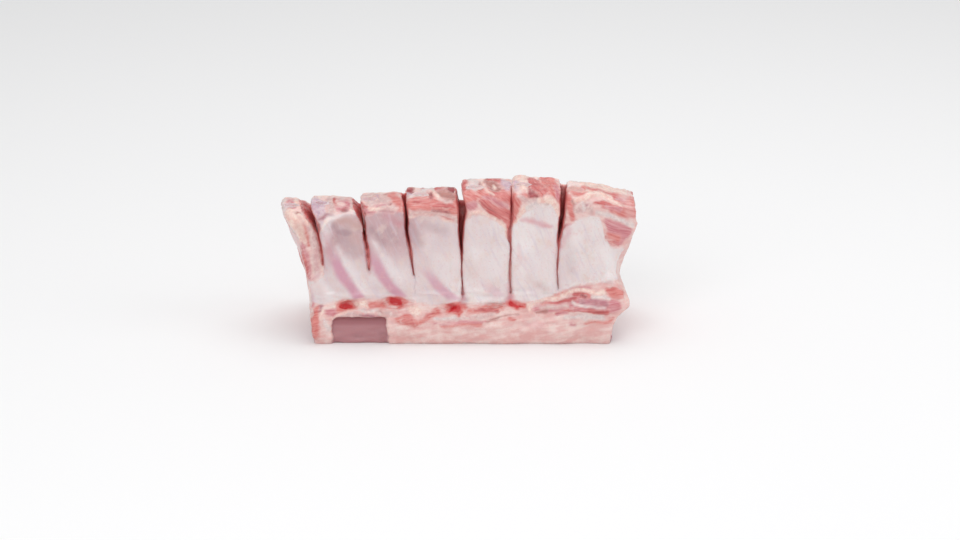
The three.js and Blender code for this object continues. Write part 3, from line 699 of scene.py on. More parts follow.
# These only tint what lies under them. Each has a strength and fades out over its half width.
# The milky bands down the ribs are painted light on their ridges, and the dusky bands beside them
# are painted shade.
TINTS = {
    "milky_and_painted_light": (
        # Painted light: the bands that run down along the ribs are their lit ridges. The rest is milky
        # tissue.
        (0.8, ((-62, 51, 1.6), (-56.6, 42, 2.2), (-49.5, 30, 2.4))),
        (0.8, ((-72.5, 36, 2), (-66.5, 27.5, 2.4))),
        (0.8, ((-43.8, 55, 1.6), (-37.5, 45.5, 2.4), (-30.5, 35, 2.2))),
        (0.9, ((-71, 63.6, 1.8), (-69, 58.6, 2.4), (-69.6, 54, 1.6))),
        (0.5, ((-16, 60, 3), (-12, 48, 4), (-5, 36, 3))),
        (0.6, ((12, 50, 5), (20, 40, 4))),
        (0.6, ((36, 52, 4), (44, 44, 5), (50, 34, 3))),
        (1, ((78.4, 50, 2.4), (80.6, 44, 3), (81, 36, 2.6))),
        (0.4, ((88, 78, 2.4), (89.6, 74, 2.6), (90.4, 68, 2.4))),
        (0.8, ((57, 83.4, 2.4), (62, 83.6, 2.4))),
        (0.9, ((-68.8, 62.6, 2.2), (-66.2, 66.2, 2), (-60.4, 68.4, 1.5), (-54.6, 68.8, 1.1))),
    ),
    "dusky_and_painted_shade": (
        # Painted shade: grey bands beside the ribs' ridges, and dark below the ends of three knife
        # cuts.
        (1, ((-64, 62.2, 1.5), (-61, 59.6, 1.9), (-56.6, 59, 1.4))),
        (0.5, ((-61, 56, 3), (-56, 52, 3.4), (-52, 49, 2.6))),
        (0.7, ((-45.6, 61.6, 1.3), (-41.5, 57.4, 1.9), (-37.7, 53.4, 1.5))),
        (0.4, ((-36, 60, 2.4), (-32, 54, 2.4))),
        (0.5, ((-24.1, 63.4, 1.6), (-20.6, 58, 2.2), (-17.9, 53, 1.8))),
        (0.4, ((-16, 62.6, 2), (-6, 60, 2.4))),
        (0.3, ((44, 32, 1.8), (48, 28, 1.8))),
        (1, ((3.2, 29.4, 0.8), (3.7, 23.8, 2.2))),
        (0.8, ((28, 29.4, 0.9), (28.2, 24.4, 2))),
        (0.5, ((-21.9, 37, 0.3), (-21.7, 27, 0.3))),
        (0.3, ((60.4, 40, 2.2),)),
        (0.25, ((58, 57, 2), (60, 44, 3))),
    ),
    "tan": (
        (0.75, ((-61, 64.4, 1.8), (-56.6, 64.6, 2.6), (-52.4, 62, 2))),
        (0.5, ((-54, 57, 2), (-50.6, 50, 1.4))),
        (0.5, ((-82, 62, 1.8), (-79, 55, 1.8))),
        (0.3, ((5.6, 46, 2.4), (9, 38, 2.8))),
        (0.3, ((38.4, 36, 2), (41, 33, 1.6))),
    ),
    "pinkish": (
        (0.7, ((-36, 68, 1.8), (-29.4, 64, 2.2))),
        (0.5, ((-69, 57, 1.2), (-66.8, 49, 1.6))),
        (1, ((34, 66.2, 0.9), (39.6, 65, 1.2), (45, 62.9, 1.3), (49.6, 62, 0.7))),
        (0.3, ((33.4, 52, 1), (33.8, 43, 1))),
        (1, ((28, 31.4, 0.7), (28.1, 27.4, 1.7), (28.2, 24.4, 2.6))),
        (0.9, ((3.4, 28.4, 0.6), (3.3, 24.2, 1.8))),
        (0.6, ((68.4, 22.9, 1.4), (73, 22.4, 1.6), (78, 22, 1.5))),
        (0.4, ((36.2, 11.2, 2), (44, 11, 2))),
        (0.6, ((-74, 50, 0.9), (-73, 40, 1.2))),
        (0.5, ((-76.8, 30, 1), (-75.8, 23, 1.2))),
        (0.6, ((54.4, 62, 1.4), (58.6, 60.4, 1.6), (55.6, 52, 1.2))),
        (0.4, ((-46.6, 50, 0.9), (-45, 38, 1.2))),
    ),
}
# Where a rib shows through the membrane: lines of (x, rise), from the top down.
RIB_STRIPES = (
    ((-66, 52), (-62.4, 42), (-57.4, 33.4), (-51.6, 24.6)),
    ((-46, 52), (-41.4, 42.6), (-36.6, 34), (-29.6, 26)),
    ((-18, 43), (-14, 37), (-8.6, 30), (-2.6, 24.6)),
    ((12.4, 36.4), (17.6, 31), (21.4, 26.8)),
    ((39.6, 34), (44, 30)),
)
STRIPE_STRENGTHS = (0.9, 0.85, 0.7, 0.4, 0.2)
STRIPE_HALF = 3.0  # half the width of a stripe, across the level

OUTSIDE = -9.0  # the value of a field far outside its tissue
UNDERLAP = 0.1  # how far a tissue runs on under the one that is laid over it
OFF_FRONT = 4.0  # millimetres taken off every stroke where the skin turns away


def bent_place(skin):
    """Each point's x and rise, bent by noise, so that no border laid on them is smooth."""
    bent = []
    for place, shift in ((skin.x, 70), (skin.rise, 72)):
        place = place + 0.6 * noise(skin.points, 5, shift=shift)
        bent.append(place + 0.45 * noise(skin.points, 2.1, shift=shift + 1))
    return bent


def stroke(x, rise, line):
    """How far inside this stroke each place lies, in millimetres; below 0 it is outside."""
    best = np.full(len(x), OUTSIDE)
    for (x1, rise1, half1), (x2, rise2, half2) in zip(line, line[1:] or line):
        dx, dr = x2 - x1, rise2 - rise1
        length = max(dx * dx + dr * dr, 1e-6)
        share = np.clip(((x - x1) * dx + (rise - rise1) * dr) / length, 0, 1)
        off = np.hypot(x - x1 - share * dx, rise - rise1 - share * dr)
        best = np.maximum(best, half1 + share * (half2 - half1) - off)
    return best


def on_front(skin):
    """1 where a point belongs to the inner side or a sawn top, as the camera sees them."""
    return skin.seen * step(skin.under_seen, 4.0, 1.5)


def paint(skin, fields):
    """Lays every stroke on the fields, in order, each cutting away most of what lies under it."""
    front = on_front(skin)
    here = np.flatnonzero(front > 0.01)
    x, rise = (place[here] for place in bent_place(skin))
    for tissue, line in STROKES:
        inside = stroke(x, rise, line) - OFF_FRONT * (1 - front[here])
        for name, field in fields.items():
            if name == tissue:
                field[here] = np.maximum(field[here], inside)
            else:
                field[here] = np.minimum(field[here], UNDERLAP - inside)


def tint(skin, lines):
    """How strongly the softly fading strokes of one tint colour each point, 0 to 1."""
    x, rise = bent_place(skin)
    total = np.zeros(len(x))
    for strength, line in lines:
        widest = max(half for _, _, half in line)
        share = step(stroke(x, rise, line), -0.9 * widest, 0.9 * widest)
        total = np.maximum(total, strength * share)
    uneven = 1 + 0.35 * rough(skin.points, 5, 2, shift=78)
    return np.clip(total * uneven, 0, 1) * on_front(skin)


def stripes(skin):
    """The bands where a rib shows lilac through the membrane, 0 to 1."""
    total = np.zeros(len(skin.x))
    uneven = 1.2 * noise(skin.points, 9, shift=76)
    for line, strength in zip(RIB_STRIPES, STRIPE_STRENGTHS):
        x, rise = np.array(line[::-1]).T
        place = np.interp(skin.rise, rise, x)
        above_low_end = step(skin.rise, rise[0] - 3, rise[0] + 1)
        inside = above_low_end * step(skin.rise, rise[-1] + 1, rise[-1] - 11)
        across = step(np.abs(skin.x - place + uneven), STRIPE_HALF + 1.8, STRIPE_HALF - 1.4)
        total = np.maximum(total, strength * across * inside)
    return total


print("strokes:", len(STROKES), "and", sum(len(lines) for lines in TINTS.values()), "tints")

# %% [markdown]
# ## The membrane
#
# The lining of the chest is a pearly sheet over the ribs. It stops in a torn edge below the sawn
# tops, where muscle is bare, and above the backbone, where cut bone and fat begin. The upper edge
# is a line (x, rise) across each chop, the lower one a line across the whole rack. The sheet has
# a thickness, so it also shows as a thin pale line along the front of each knife cut.

# %% Where the membrane is
MEMBRANE_TOPS = (
    ((-91, 36.0), (-80, 36.0), (-74, 33.0), (-68, 38.0)),
    ((-74.0, 58.0), (-70.5, 61.6), (-67.0, 65.6), (-61.0, 67.6), (-52.0, 69.6)),
    ((-49.6, 67.0), (-42.0, 69.2), (-30.0, 69.4)),
    ((-26, 65.6), (-20.3, 67.2), (-13, 67.6), (-4.2, 64.9), (1, 63.2)),
    ((4.0, 66.0), (7.9, 68.2), (11.9, 68.0), (18.0, 66.2), (22.0, 64.0), (25.2, 60.8),
     (26.8, 56.0), (28.0, 54.0)),
    ((29.7, 61.6), (32.9, 66.2), (37.0, 70.6), (42.0, 73.2), (48.0, 73.4), (51.2, 70.4),
     (53.8, 65.6)),
    ((54.0, 60.0), (58.7, 62.8), (65.3, 66.2), (71.5, 68.4), (74.6, 67.2), (76.4, 61.5), (77.2, 56.0),
     (80.6, 51.8), (92, 50.6)),
)
MEMBRANE_FOOT = (
    (-90, 25), (-76, 23), (-70, 21.4), (-64, 22), (-59, 24.4), (-36, 24.8), (-28, 25), (-20, 22.4),
    (-10, 20.9), (-4, 22.4), (0, 23.2), (8, 21.8), (22, 22), (33, 23.2), (40, 22.6), (47, 24.4),
    (55, 28), (62, 31), (75, 33), (90, 36),
)
MEMBRANE_THICKNESS = 1.3


def membrane(skin):
    """Millimetres inside the membrane, below 0 outside it."""
    top = np.zeros(len(skin.x))
    for chop, line in enumerate(MEMBRANE_TOPS):
        x, rise = np.array(line).T
        here = skin.chop == chop
        top[here] = np.interp(skin.x[here], x, rise)
    foot = np.interp(skin.x, *np.array(MEMBRANE_FOOT).T)
    torn = 0.9 * rough(skin.points, 4.5, 3, shift=3)
    below_top = top + torn - skin.rise
    above_foot = skin.rise - foot - 0.6 * torn
    in_sheet = (MEMBRANE_THICKNESS - skin.under_inner) * 3
    return np.minimum(np.minimum(below_top, above_foot), in_sheet)


covered = membrane(skin)
print("membrane covers", int((covered > 0).sum()), "points")

# %% [markdown]
# ## Lean and fat
#
# Every knife cut, both ends and the sawn tops are slices through the same meat, so lean and fat
# are worked out through the whole volume and not painted on one face at a time. A cap of fat lies
# behind, with a thin sheet of muscle in it; the round eye of the loin lies on the backbone; and
# seams of fat part them. Whatever face a cut opens, its layers then run on round the corner.

# %% Where the lean is
EYE_MIDDLE = (38.0, 25.0)  # y, z of the round loin muscle
EYE_RADII = (16.0, 17.5)
EYE_SCALE = 15.0  # turns a share of its radius into about millimetres
CAP_AT_LOIN = 6.0  # thickness of the fat cap
CAP_AT_TOP = 3.0
CAP_MUSCLE = 5.0  # thickness of the sheet of muscle in the cap
CAP_MUSCLE_FOOT = 34.0  # the height at which that sheet runs out
SEAM = 1.1  # a seam of fat is this wide round the eye, and twice as wide under the cap's muscle
SIDE_RIM = 0.8  # how thick the pale rim behind the inner face is, seen in a knife cut
END_RIM = 4.5  # and how thick it is at the two ends of the rack
PALE_REACH = 10.0  # how much thicker it is there where the membrane comes round the end
BACKBONE_TOP = 21.0


def lean(skin):
    """Millimetres inside lean meat, below 0 in fat, through the whole volume."""
    x, y, z = skin.x, skin.y, skin.z
    bend = 1.6 * noise(skin.points, (30, 12, 12), shift=5)
    bend = bend + 0.7 * noise(skin.points, (12, 5, 5), shift=6)
    cap = blend(CAP_AT_LOIN, CAP_AT_TOP, step(z, 30, 72))
    under = skin.under_fat + bend
    eye_off = np.hypot((y - EYE_MIDDLE[0]) / EYE_RADII[0], (z - EYE_MIDDLE[1]) / EYE_RADII[1])
    eye = (1 - eye_off) * EYE_SCALE + bend
    sheet = CAP_MUSCLE / 2 - np.abs(under - cap - CAP_MUSCLE / 2)
    sheet = np.minimum(sheet, (z - CAP_MUSCLE_FOOT) * 0.4)
    rim = blend(SIDE_RIM, END_RIM, np.maximum(skin.left_end, skin.right_end))
    wavy = z + 2.2 * bend
    rim += PALE_REACH * (skin.right_end * step(wavy, 62, 52) + skin.left_end * step(wavy, 36, 27))
    inner = np.minimum(under - cap - CAP_MUSCLE - 2 * SEAM, skin.under_inner - rim + 0.5 * bend)
    inner = np.minimum(inner, (z - BACKBONE_TOP - 3 * bend - 0.25 * (y - 12)) * 0.5)
    inner = np.where(eye > -SEAM * 2, np.minimum(inner, -eye - SEAM), inner)
    marbling = 0.5 - 2.2 * np.abs(noise(skin.points, (16, 5, 4), shift=9))
    field = np.maximum(np.maximum(eye, sheet), inner)
    return np.minimum(field, 2.5) - np.maximum(marbling, 0) * 1.2


def tissue_fields(skin):
    """Each tissue's field: the volume's lean, but for the backbone and the tops, then the strokes."""
    fields = {name: np.full(len(skin.x), OUTSIDE) for name in TISSUES}
    front = on_front(skin)
    field = lean(skin)
    on_backbone = front * step(skin.z, 29, 23)
    upper = front * step(skin.rise, 58, 63)
    fields["lean"] = blend(field, -1.2, np.maximum(on_backbone, upper))
    paint(skin, fields)
    return fields


tissues = tissue_fields(skin)
lean_field = tissues["lean"]
print("lean shows on", int((lean_field > 0).sum()), "points")

# %% [markdown]
# ## Relief
#
# Now the skin takes its form. Muscle stands a little above the fat it is cut with, because it
# swells as it relaxes, and its fibres leave fine ridges. The membrane has a thickness, so its torn
# edge is a step. The lips of each knife cut roll back. The fat cap is lumpy. All of it moves the
# points of the mesh, so the form is there from every side and in every light.

# %% Grain of the muscle
CHOP_GRAINS = (30, 20, 10, -4, -36, -58, -16)  # tilt of the bare fibres on each chop, in degrees
STRIP_GRAIN = 9  # and of the strip of meat along the backbone
STRIP_TOP = 31.0  # the height at which that strip ends
MEMBRANE_GRAIN = -64  # the slant of the ribs
FIBRE = 0.9  # width of a bundle of fibres
FIBRE_LENGTH = 8.0
SLICED_GRAIN = 0.5  # the fibres' ends are coarser than the fibres are wide
FAT_GRAIN = 0.14  # the fat cap is streaked along the rack


def grain(skin):
    """Each point's place measured along and across the muscle fibres there."""
    tilt = np.radians(np.array(CHOP_GRAINS, float)[skin.chop])
    tilt = np.where(skin.z < STRIP_TOP, math.radians(STRIP_GRAIN), tilt)
    tilt = np.where(covered > 0, math.radians(MEMBRANE_GRAIN), tilt)
    along = skin.x * np.cos(tilt) + skin.rise * np.sin(tilt)
    across = skin.rise * np.cos(tilt) - skin.x * np.sin(tilt)
    across = across + 0.8 * noise(skin.points, 9, shift=15)
    on_fat = step(skin.under_fat, 3.0, 1.2)
    lengthwise = blend(SLICED_GRAIN, FAT_GRAIN, on_fat)
    leaning = skin.z + 0.35 * skin.x * on_fat
    sliced = np.stack((skin.x * lengthwise, skin.y * SLICED_GRAIN, leaning * SLICED_GRAIN), axis=1)
    fibrous = np.stack((along * FIBRE / FIBRE_LENGTH, across, skin.y * 0.5), axis=1)
    return blend(sliced, fibrous, (skin.seen > 0.5)[:, None])


fibres = grain(skin)

# %% Where bone shows
# The bones are pieces of their own. The meat steps back where one comes to the surface.
RIB_NODES = ["rib_bone_%d" % (number + 1) for number in range(7)]
RIB_RADII = (5.25, 3.0)
END_REACH = 2.0  # how much of a rib's length is taken for the place of its sawn end
SHOWN = 0.7  # how far the meat steps back
BONE_EDGE = 0.25  # half the width of the border between bone and meat
CHINE_TOP = 18.0  # only below this can the backbone come to the surface
CHINE_MIDDLE = 3.0  # its middle, along x
CHINE_HALF = 76.0  # beyond this from its middle lie its two sawn ends
ENDS_SHOWN = 0.6  # millimetres of meat through which bone still shows at those ends
TESTED_DEPTH = 2.0  # how far from the backbone's surface points are measured
FOOT_FLAT = 0.5  # below this the skin is the sawn foot
FOOT_LOOK = 1.2  # under the foot, what counts is the bone this far above it


def rib_end(node):
    """The middle of a rib's sawn end."""
    points = to_rack(np.array([v.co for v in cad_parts[node].data.vertices]))
    return points[points[:, 2] > points[:, 2].max() - END_REACH].mean(axis=0)


def inside_solid(points, node, reach):
    """Millimetres inside a plain solid, for the points within reach of its box."""
    low, high = (to_rack(np.array(corner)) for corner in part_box(node))
    near = np.all((points > low - reach) & (points < high + reach), axis=1)
    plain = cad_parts[node].data
    solid = BVHTree.FromPolygons([v.co for v in plain.vertices], [p.vertices for p in plain.polygons])
    depth = np.full(len(points), -reach)
    for i in np.flatnonzero(near):
        spot = Vector(from_rack(points[i]))
        place, normal, _, distance = solid.find_nearest(spot)
        side = -1 if (spot - place).dot(normal) > 0 else 1
        depth[i] = max(side * distance / MM, -reach)
    return depth


rib_ends = [rib_end(node) for node in RIB_NODES]
on_rib_end = np.zeros(len(base))
for end in rib_ends:
    off = np.hypot((skin.x - end[0]) / RIB_RADII[0], (skin.y - end[1]) / RIB_RADII[1])
    off += 0.14 * noise(base, 2.6, shift=55)
    on_rib_end = np.maximum(on_rib_end, step(off, 1.04, 0.88) * step(skin.under_top, 4.0, 2.5))
low_points = skin.z < CHINE_TOP
above_foot = base.copy()
above_foot[base[:, 2] < FOOT_FLAT, 2] += FOOT_LOOK
in_chine = np.full(len(base), -TESTED_DEPTH)
in_chine[low_points] = inside_solid(above_foot[low_points], "chine_bone", TESTED_DEPTH)
at_end = step(np.abs(normals[:, 0]), 0.5, 0.8) * (np.abs(skin.x - CHINE_MIDDLE) > CHINE_HALF)
on_chine = step(in_chine + ENDS_SHOWN * at_end, -BONE_EDGE, BONE_EDGE)
on_bone = np.maximum(on_rib_end, on_chine)
print("bone shows at", int((on_bone > 0.5).sum()), "points")

# %% Shape the skin
MEMBRANE_STEP = 0.42
SLICED_SWELL = 0.45  # how far muscle stands above fat on the walls of the cuts, the ends and tops
BARE_SWELL = 0.3  # and on the inner side itself
LIP_ROLL = 0.6
SAWN_ROUGHNESS = 0.55
BLUNT_DROP = 1.2  # how far the top sinks where the rack runs out at the right
END_HOLLOW = 1.3  # how far the left end falls in below its top
RIDGES = ((0.22, 1.6, 1), (0.14, 0.8, 2))  # of the fibres: height, width in fibres, shift
UNEVENNESS = 0.25  # of everything but the fat side
FAT_LUMPS = 1.3
FOLD_DEPTH = 0.5
FOLD_SLANT = np.array(((1.0, 0.0, 0.3), (0.0, 1.0, 0.0), (-0.3, 0.0, 1.0)))  # folds lean along the rack
FAT_PIMPLES = 0.16
WRINKLE_DEPTH = 0.30
SPINE_ROUGHNESS = 0.8
PIT_DEPTH = 0.4  # of the sponge in raw marrow
TISSUE_HEIGHTS = {"salmon": 0.25, "rose": 0.15, "deep": -0.2, "brown": -0.1, "cream": 0.6,
                  "pearl": 0.4, "veil": 0.35, "lilac": 0.3, "mauve": 0.1, "marrow": -0.4}


def cut_depth(skin):
    """How deep each point lies under the nearest of the faces that a cut opens."""
    return np.minimum(np.minimum(skin.under_inner, skin.under_top), skin.under_fat)


def in_cut(skin):
    """How deep inside a knife cut each point lies, 0 to 1."""
    return step(cut_depth(skin), 0.4, 3.0) * step(skin.from_cut, 5.0, 3.0)


def relief(skin):
    """How far each point moves along its normal, in millimetres."""
    on_inner = step(skin.under_inner, 2.5, 1.0)
    on_fat = step(skin.under_fat, 3.0, 1.2)
    above_spine = step(skin.z, 24, 32)
    on_lean = step(lean_field, -0.5, 0.7)
    amount = MEMBRANE_STEP * step(covered, -0.35, 0.35) * on_inner
    amount += SLICED_SWELL * on_lean * (1 - on_inner) * (1 - on_fat)
    amount += BARE_SWELL * on_lean * skin.seen * on_inner
    amount -= LIP_ROLL * bell(skin.from_cut, 1.6) * np.maximum(on_inner, on_fat)
    uneven = 1 + 0.4 * rough(skin.points, 6, 2, shift=16)
    amount += skin.closed * uneven * step(cut_depth(skin), 0.8, 3.0) * step(skin.from_cut, 5.0, 3.0)
    on_top = step(skin.under_top, 2.5, 1.0) * step(skin.normals[:, 2], 0.3, 0.7)
    amount += on_top * SAWN_ROUGHNESS * rough(skin.points, 4.5, 3, shift=18)
    amount -= on_top * BLUNT_DROP * step(skin.x, 74, 82)
    amount -= END_HOLLOW * skin.left_end * bell(skin.rise - 57, 8)
    bare = skin.seen * step(lean_field, -0.6, 0.6) * (1 - step(covered, -0.3, 0.3))
    for height, width, shift in RIDGES:
        amount += bare * height * noise(fibres, FIBRE * width, shift=shift)
    amount += UNEVENNESS * rough(skin.points, 7, 3, shift=21) * (1 - on_fat)
    below_edge = on_fat * step(skin.under_top, 1, 9)
    lumps = rough(skin.points, (24, 24, 13), 3, shift=24)
    amount += on_fat * FAT_LUMPS * blend(0.4, 1.0, below_edge) * lumps
    leaning = skin.points @ FOLD_SLANT
    fold = np.abs(noise(leaning, (34, 20, 9), shift=26))
    amount -= below_edge * FOLD_DEPTH * step(fold, 0.32, 0.0)
    amount += on_fat * FAT_PIMPLES * noise(skin.points, 1.8, shift=27)
    wrinkle = np.abs(noise(skin.points, (3.2, 40, 15), shift=30))
    in_wrinkle = step(wrinkle, 0.10, 0.0)
    amount -= WRINKLE_DEPTH * in_wrinkle * on_inner * above_spine * step(covered, 0, 1)
    on_spine = skin.seen * step(skin.z, 30, 25)
    amount += on_spine * SPINE_ROUGHNESS * rough(skin.points, (11, 11, 3.4), 3, shift=33)
    for name, height in TISSUE_HEIGHTS.items():
        amount += height * step(tissues[name], -0.4, 0.6)
    in_marrow = step(tissues["marrow"], -0.5, 0.6)
    amount -= in_marrow * PIT_DEPTH * np.abs(noise(skin.points, 1.5, shift=36))
    amount = blend(amount, -SHOWN, on_bone)
    return amount * step(skin.z, 0.2, 1.6)


def knife_wander(skin):
    """The knife's sideways wander, which moves both walls of a cut alike."""
    broad = 0.2 * noise(skin.points, (60, 14, 9), shift=40)
    fine = 0.15 * noise(skin.points, (60, 5, 4), shift=41)
    return skin.stray + broad + fine


shaped = base + normals * relief(skin)[:, None]
shaped[:, 0] += knife_wander(skin) * step(skin.z, 0.5, 6) * step(skin.from_cut, 14, 5)
shaped[:, 0] += skin.side * skin.wider * step(skin.from_cut, 5, 2)
shaped = blend(shaped, smoothed(shaped, edges, 1), 0.6)
foot_level = SHOWN * step(in_chine, -0.1, 0.3)
shaped[:, 2] = np.where(base[:, 2] < FOOT_FLAT, foot_level, np.maximum(shaped[:, 2], foot_level))
set_points(flesh.data, shaped)
print("relief moved points by up to", round(float(np.abs(shaped - base).max()), 1), "mm")

# %% Give the skin its masks
NOTCH_SPAN = (-65.5, -35.0)  # the block sawn out of the backbone, along x
NOTCH_TOP = 15.0
NOTCH_EDGE = 0.4  # half the width over which its mask fades
NOTCH_RIGHT_EDGE = 1.6  # how far inside it fades at the right
NOTCH_FRONT = (2.0, 3.2)  # it fades in between these depths
NOTCH_BACK = (9.0, 6.0)  # and out between these


def set_mask(mesh, name, values):
    layer = mesh.attributes.new(name, "FLOAT", "POINT")
    layer.data.foreach_set("value", np.asarray(values, np.float32))


def set_vectors(mesh, name, values):
    layer = mesh.attributes.new(name, "FLOAT_VECTOR", "POINT")
    layer.data.foreach_set("vector", np.asarray(values, np.float32).ravel())


def in_notch(points):
    """1 inside the block sawn out of the backbone, 0 outside it."""
    x, y, z = points.T
    left, right = NOTCH_SPAN
    across = step(x, left - NOTCH_EDGE, left + NOTCH_EDGE)
    across = across * step(x, right + NOTCH_EDGE, right - NOTCH_RIGHT_EDGE)
    below = step(z, NOTCH_TOP + NOTCH_EDGE, NOTCH_TOP - NOTCH_EDGE)
    return across * below * step(y, *NOTCH_BACK) * step(y, *NOTCH_FRONT)


def pink_flush(skin):
    """How far the pale membrane turns to a darker pink, 0 to 1: more to the left, higher up and near
    each cut.
    """
    to_left = step(skin.x, 8, -36) * (0.1 + 0.9 * step(skin.rise, 28, 60))
    near_cut = 0.2 * bell(skin.from_cut, 2.4)
    cloudy = 0.2 * rough(skin.points, (14, 20, 18), 3, shift=50)
    return np.clip(0.08 + to_left + near_cut + cloudy, 0, 1)


for tissue, field in tissues.items():
    set_mask(flesh.data, tissue, np.clip(field, -4, 4))
set_mask(flesh.data, "membrane", covered)
set_mask(flesh.data, "rib_stripe", stripes(skin) * step(covered, -0.2, 0.6))
for tint_name, lines in TINTS.items():
    set_mask(flesh.data, tint_name, tint(skin, lines))
set_mask(flesh.data, "flush", pink_flush(skin))
set_mask(flesh.data, "in_cut", in_cut(skin))
set_mask(flesh.data, "closed", skin.closed)
set_mask(flesh.data, "notch", in_notch(base))
set_mask(flesh.data, "on_fat_side", step(skin.under_fat, 3.0, 1.0))
set_vectors(flesh.data, "grain", fibres)
print("masks:", sum(a.domain == "POINT" for a in flesh.data.attributes))

# %% [markdown]
# ## Shader groups
#
# Three effects come back again and again, so each is a node group. `ragged edge` turns one
# of the skin's masks, in millimetres, into a sharp but torn border, finer than the mesh itself.
# `damp surface` gives the uneven shine of something wet. `sawn bone` is the pattern of a cut
# bone: a dense pale rim and a spongy core with red marrow.

# %% Node helpers
BUMP_STRENGTH = 0.8


def srgb(red, green, blue):
    """A colour from its 0 to 255 screen values, in the linear values that shaders take."""
    linear = []
    for value in (red / 255, green / 255, blue / 255):
        linear.append(value / 12.92 if value <= 0.04045 else ((value + 0.055) / 1.055) ** 2.4)
    return (*linear, 1.0)


def plug(tree, socket, value):
    """Links a socket, or sets it where the value is a plain number, colour or vector."""
    if isinstance(value, bpy.types.NodeSocket):
        tree.links.new(value, socket)
    else:
        socket.default_value = value


def add(tree, kind, values=(), **settings):
    node = tree.nodes.new("ShaderNode" + kind)
    for name, setting in settings.items():
        setattr(node, name, setting)
    for name, value in dict(values).items():
        plug(tree, node.inputs[name], value)
    return node


def sum_of(tree, a, b, operation="ADD"):
    return add(tree, "Math", {0: a, 1: b}, operation=operation).outputs[0]


def product_of(tree, a, b):
    return sum_of(tree, a, b, "MULTIPLY")


def mixed(tree, share, a, b):
    """Colour a, turning into colour b as share goes from 0 to 1."""
    return add(tree, "Mix", {0: share, 6: a, 7: b}, data_type="RGBA").outputs[2]


def ramp_between(tree, value, low, high, out_low=0.0, out_high=1.0):
    values = {"Value": value, "From Min": low, "From Max": high, "To Min": out_low, "To Max": out_high}
    return add(tree, "MapRange", values, interpolation_type="SMOOTHSTEP").outputs[0]


def cloud(tree, vector, size, detail=2.0, roughness=0.5):
    """Noise from 0 to 1 whose clouds are about size millimetres across."""
    values = {"Vector": vector, "Scale": 1 / size, "Detail": detail, "Roughness": roughness}
    return add(tree, "TexNoise", values).outputs["Fac"]


def millimetres(tree):
    """The place on the object, in millimetres."""
    place = add(tree, "TexCoord").outputs["Object"]
    return add(tree, "VectorMath", {0: place, "Scale": 1 / MM}, operation="SCALE").outputs[0]


def mask(tree, name):
    return add(tree, "Attribute", attribute_name=name).outputs["Fac"]


def dress(tree, colour, damp, height):
    """Plugs a colour, a damp roughness and a relief in millimetres into the material's shader."""
    shader = tree.nodes["Principled BSDF"]
    plug(tree, shader.inputs["Base Color"], colour)
    plug(tree, shader.inputs["Roughness"], damp["Roughness"])
    bump = add(tree, "Bump", {"Height": height, "Distance": 1 * MM, "Strength": BUMP_STRENGTH})
    plug(tree, shader.inputs["Normal"], bump.outputs[0])


def new_group(name, inputs, outputs):
    """An empty node group with these sockets: name to kind, and to a starting value if any."""
    group = bpy.data.node_groups.new(name, "ShaderNodeTree")
    for socket, (kind, start) in inputs.items():
        made = group.interface.new_socket(socket, in_out="INPUT", socket_type="NodeSocket" + kind)
        if start is not None:
            made.default_value = start
    for socket, kind in outputs.items():
        group.interface.new_socket(socket, in_out="OUTPUT", socket_type="NodeSocket" + kind)
    source = group.nodes.new("NodeGroupInput").outputs
    drain = group.nodes.new("NodeGroupOutput").inputs
    return group, source, drain


def place_group(tree, group, values):
    node = tree.nodes.new("ShaderNodeGroup")
    node.node_tree = group
    for name, value in values.items():
        plug(tree, node.inputs[name], value)
    return node.outputs


# %% Group: ragged edge
def make_ragged_edge():
    inputs = {"Field": ("Float", 0.0), "Torn": ("Float", 0.5), "Tear": ("Float", 1.6),
              "Softness": ("Float", 0.3)}
    group, source, drain = new_group("ragged edge", inputs, {"Mask": "Float"})
    torn = sum_of(group, source["Torn"], 0.5, "SUBTRACT")
    terms = {0: torn, 1: source["Tear"], 2: source["Field"]}
    pushed = add(group, "Math", terms, operation="MULTIPLY_ADD").outputs[0]
    low = product_of(group, source["Softness"], -1.0)
    plug(group, drain["Mask"], ramp_between(group, pushed, low, source["Softness"]))
    return group


ragged_edge = make_ragged_edge()


# %% Group: damp surface
def make_damp_surface():
    inputs = {"Place": ("Vector", None), "Dry": ("Float", 0.5), "Wet": ("Float", 0.25),
              "Size": ("Float", 4.0)}
    group, source, drain = new_group("damp surface", inputs, {"Roughness": "Float", "Height": "Float"})
    scale = sum_of(group, 1.0, source["Size"], "DIVIDE")
    fine_scale = product_of(group, scale, 6.0)
    values = {"Vector": source["Place"], "Scale": scale, "Detail": 4.0, "Roughness": 0.6}
    pools = add(group, "TexNoise", values).outputs["Fac"]
    values = {"Vector": source["Place"], "Scale": fine_scale, "Detail": 2.0}
    fine = add(group, "TexNoise", values).outputs["Fac"]
    roughness = ramp_between(group, pools, 0.35, 0.65, source["Dry"], source["Wet"])
    plug(group, drain["Roughness"], roughness)
    plug(group, drain["Height"], sum_of(group, pools, product_of(group, fine, 0.3)))
    return group


damp_surface = make_damp_surface()


# %% Group: sawn bone
SPONGE_CELL = 0.75


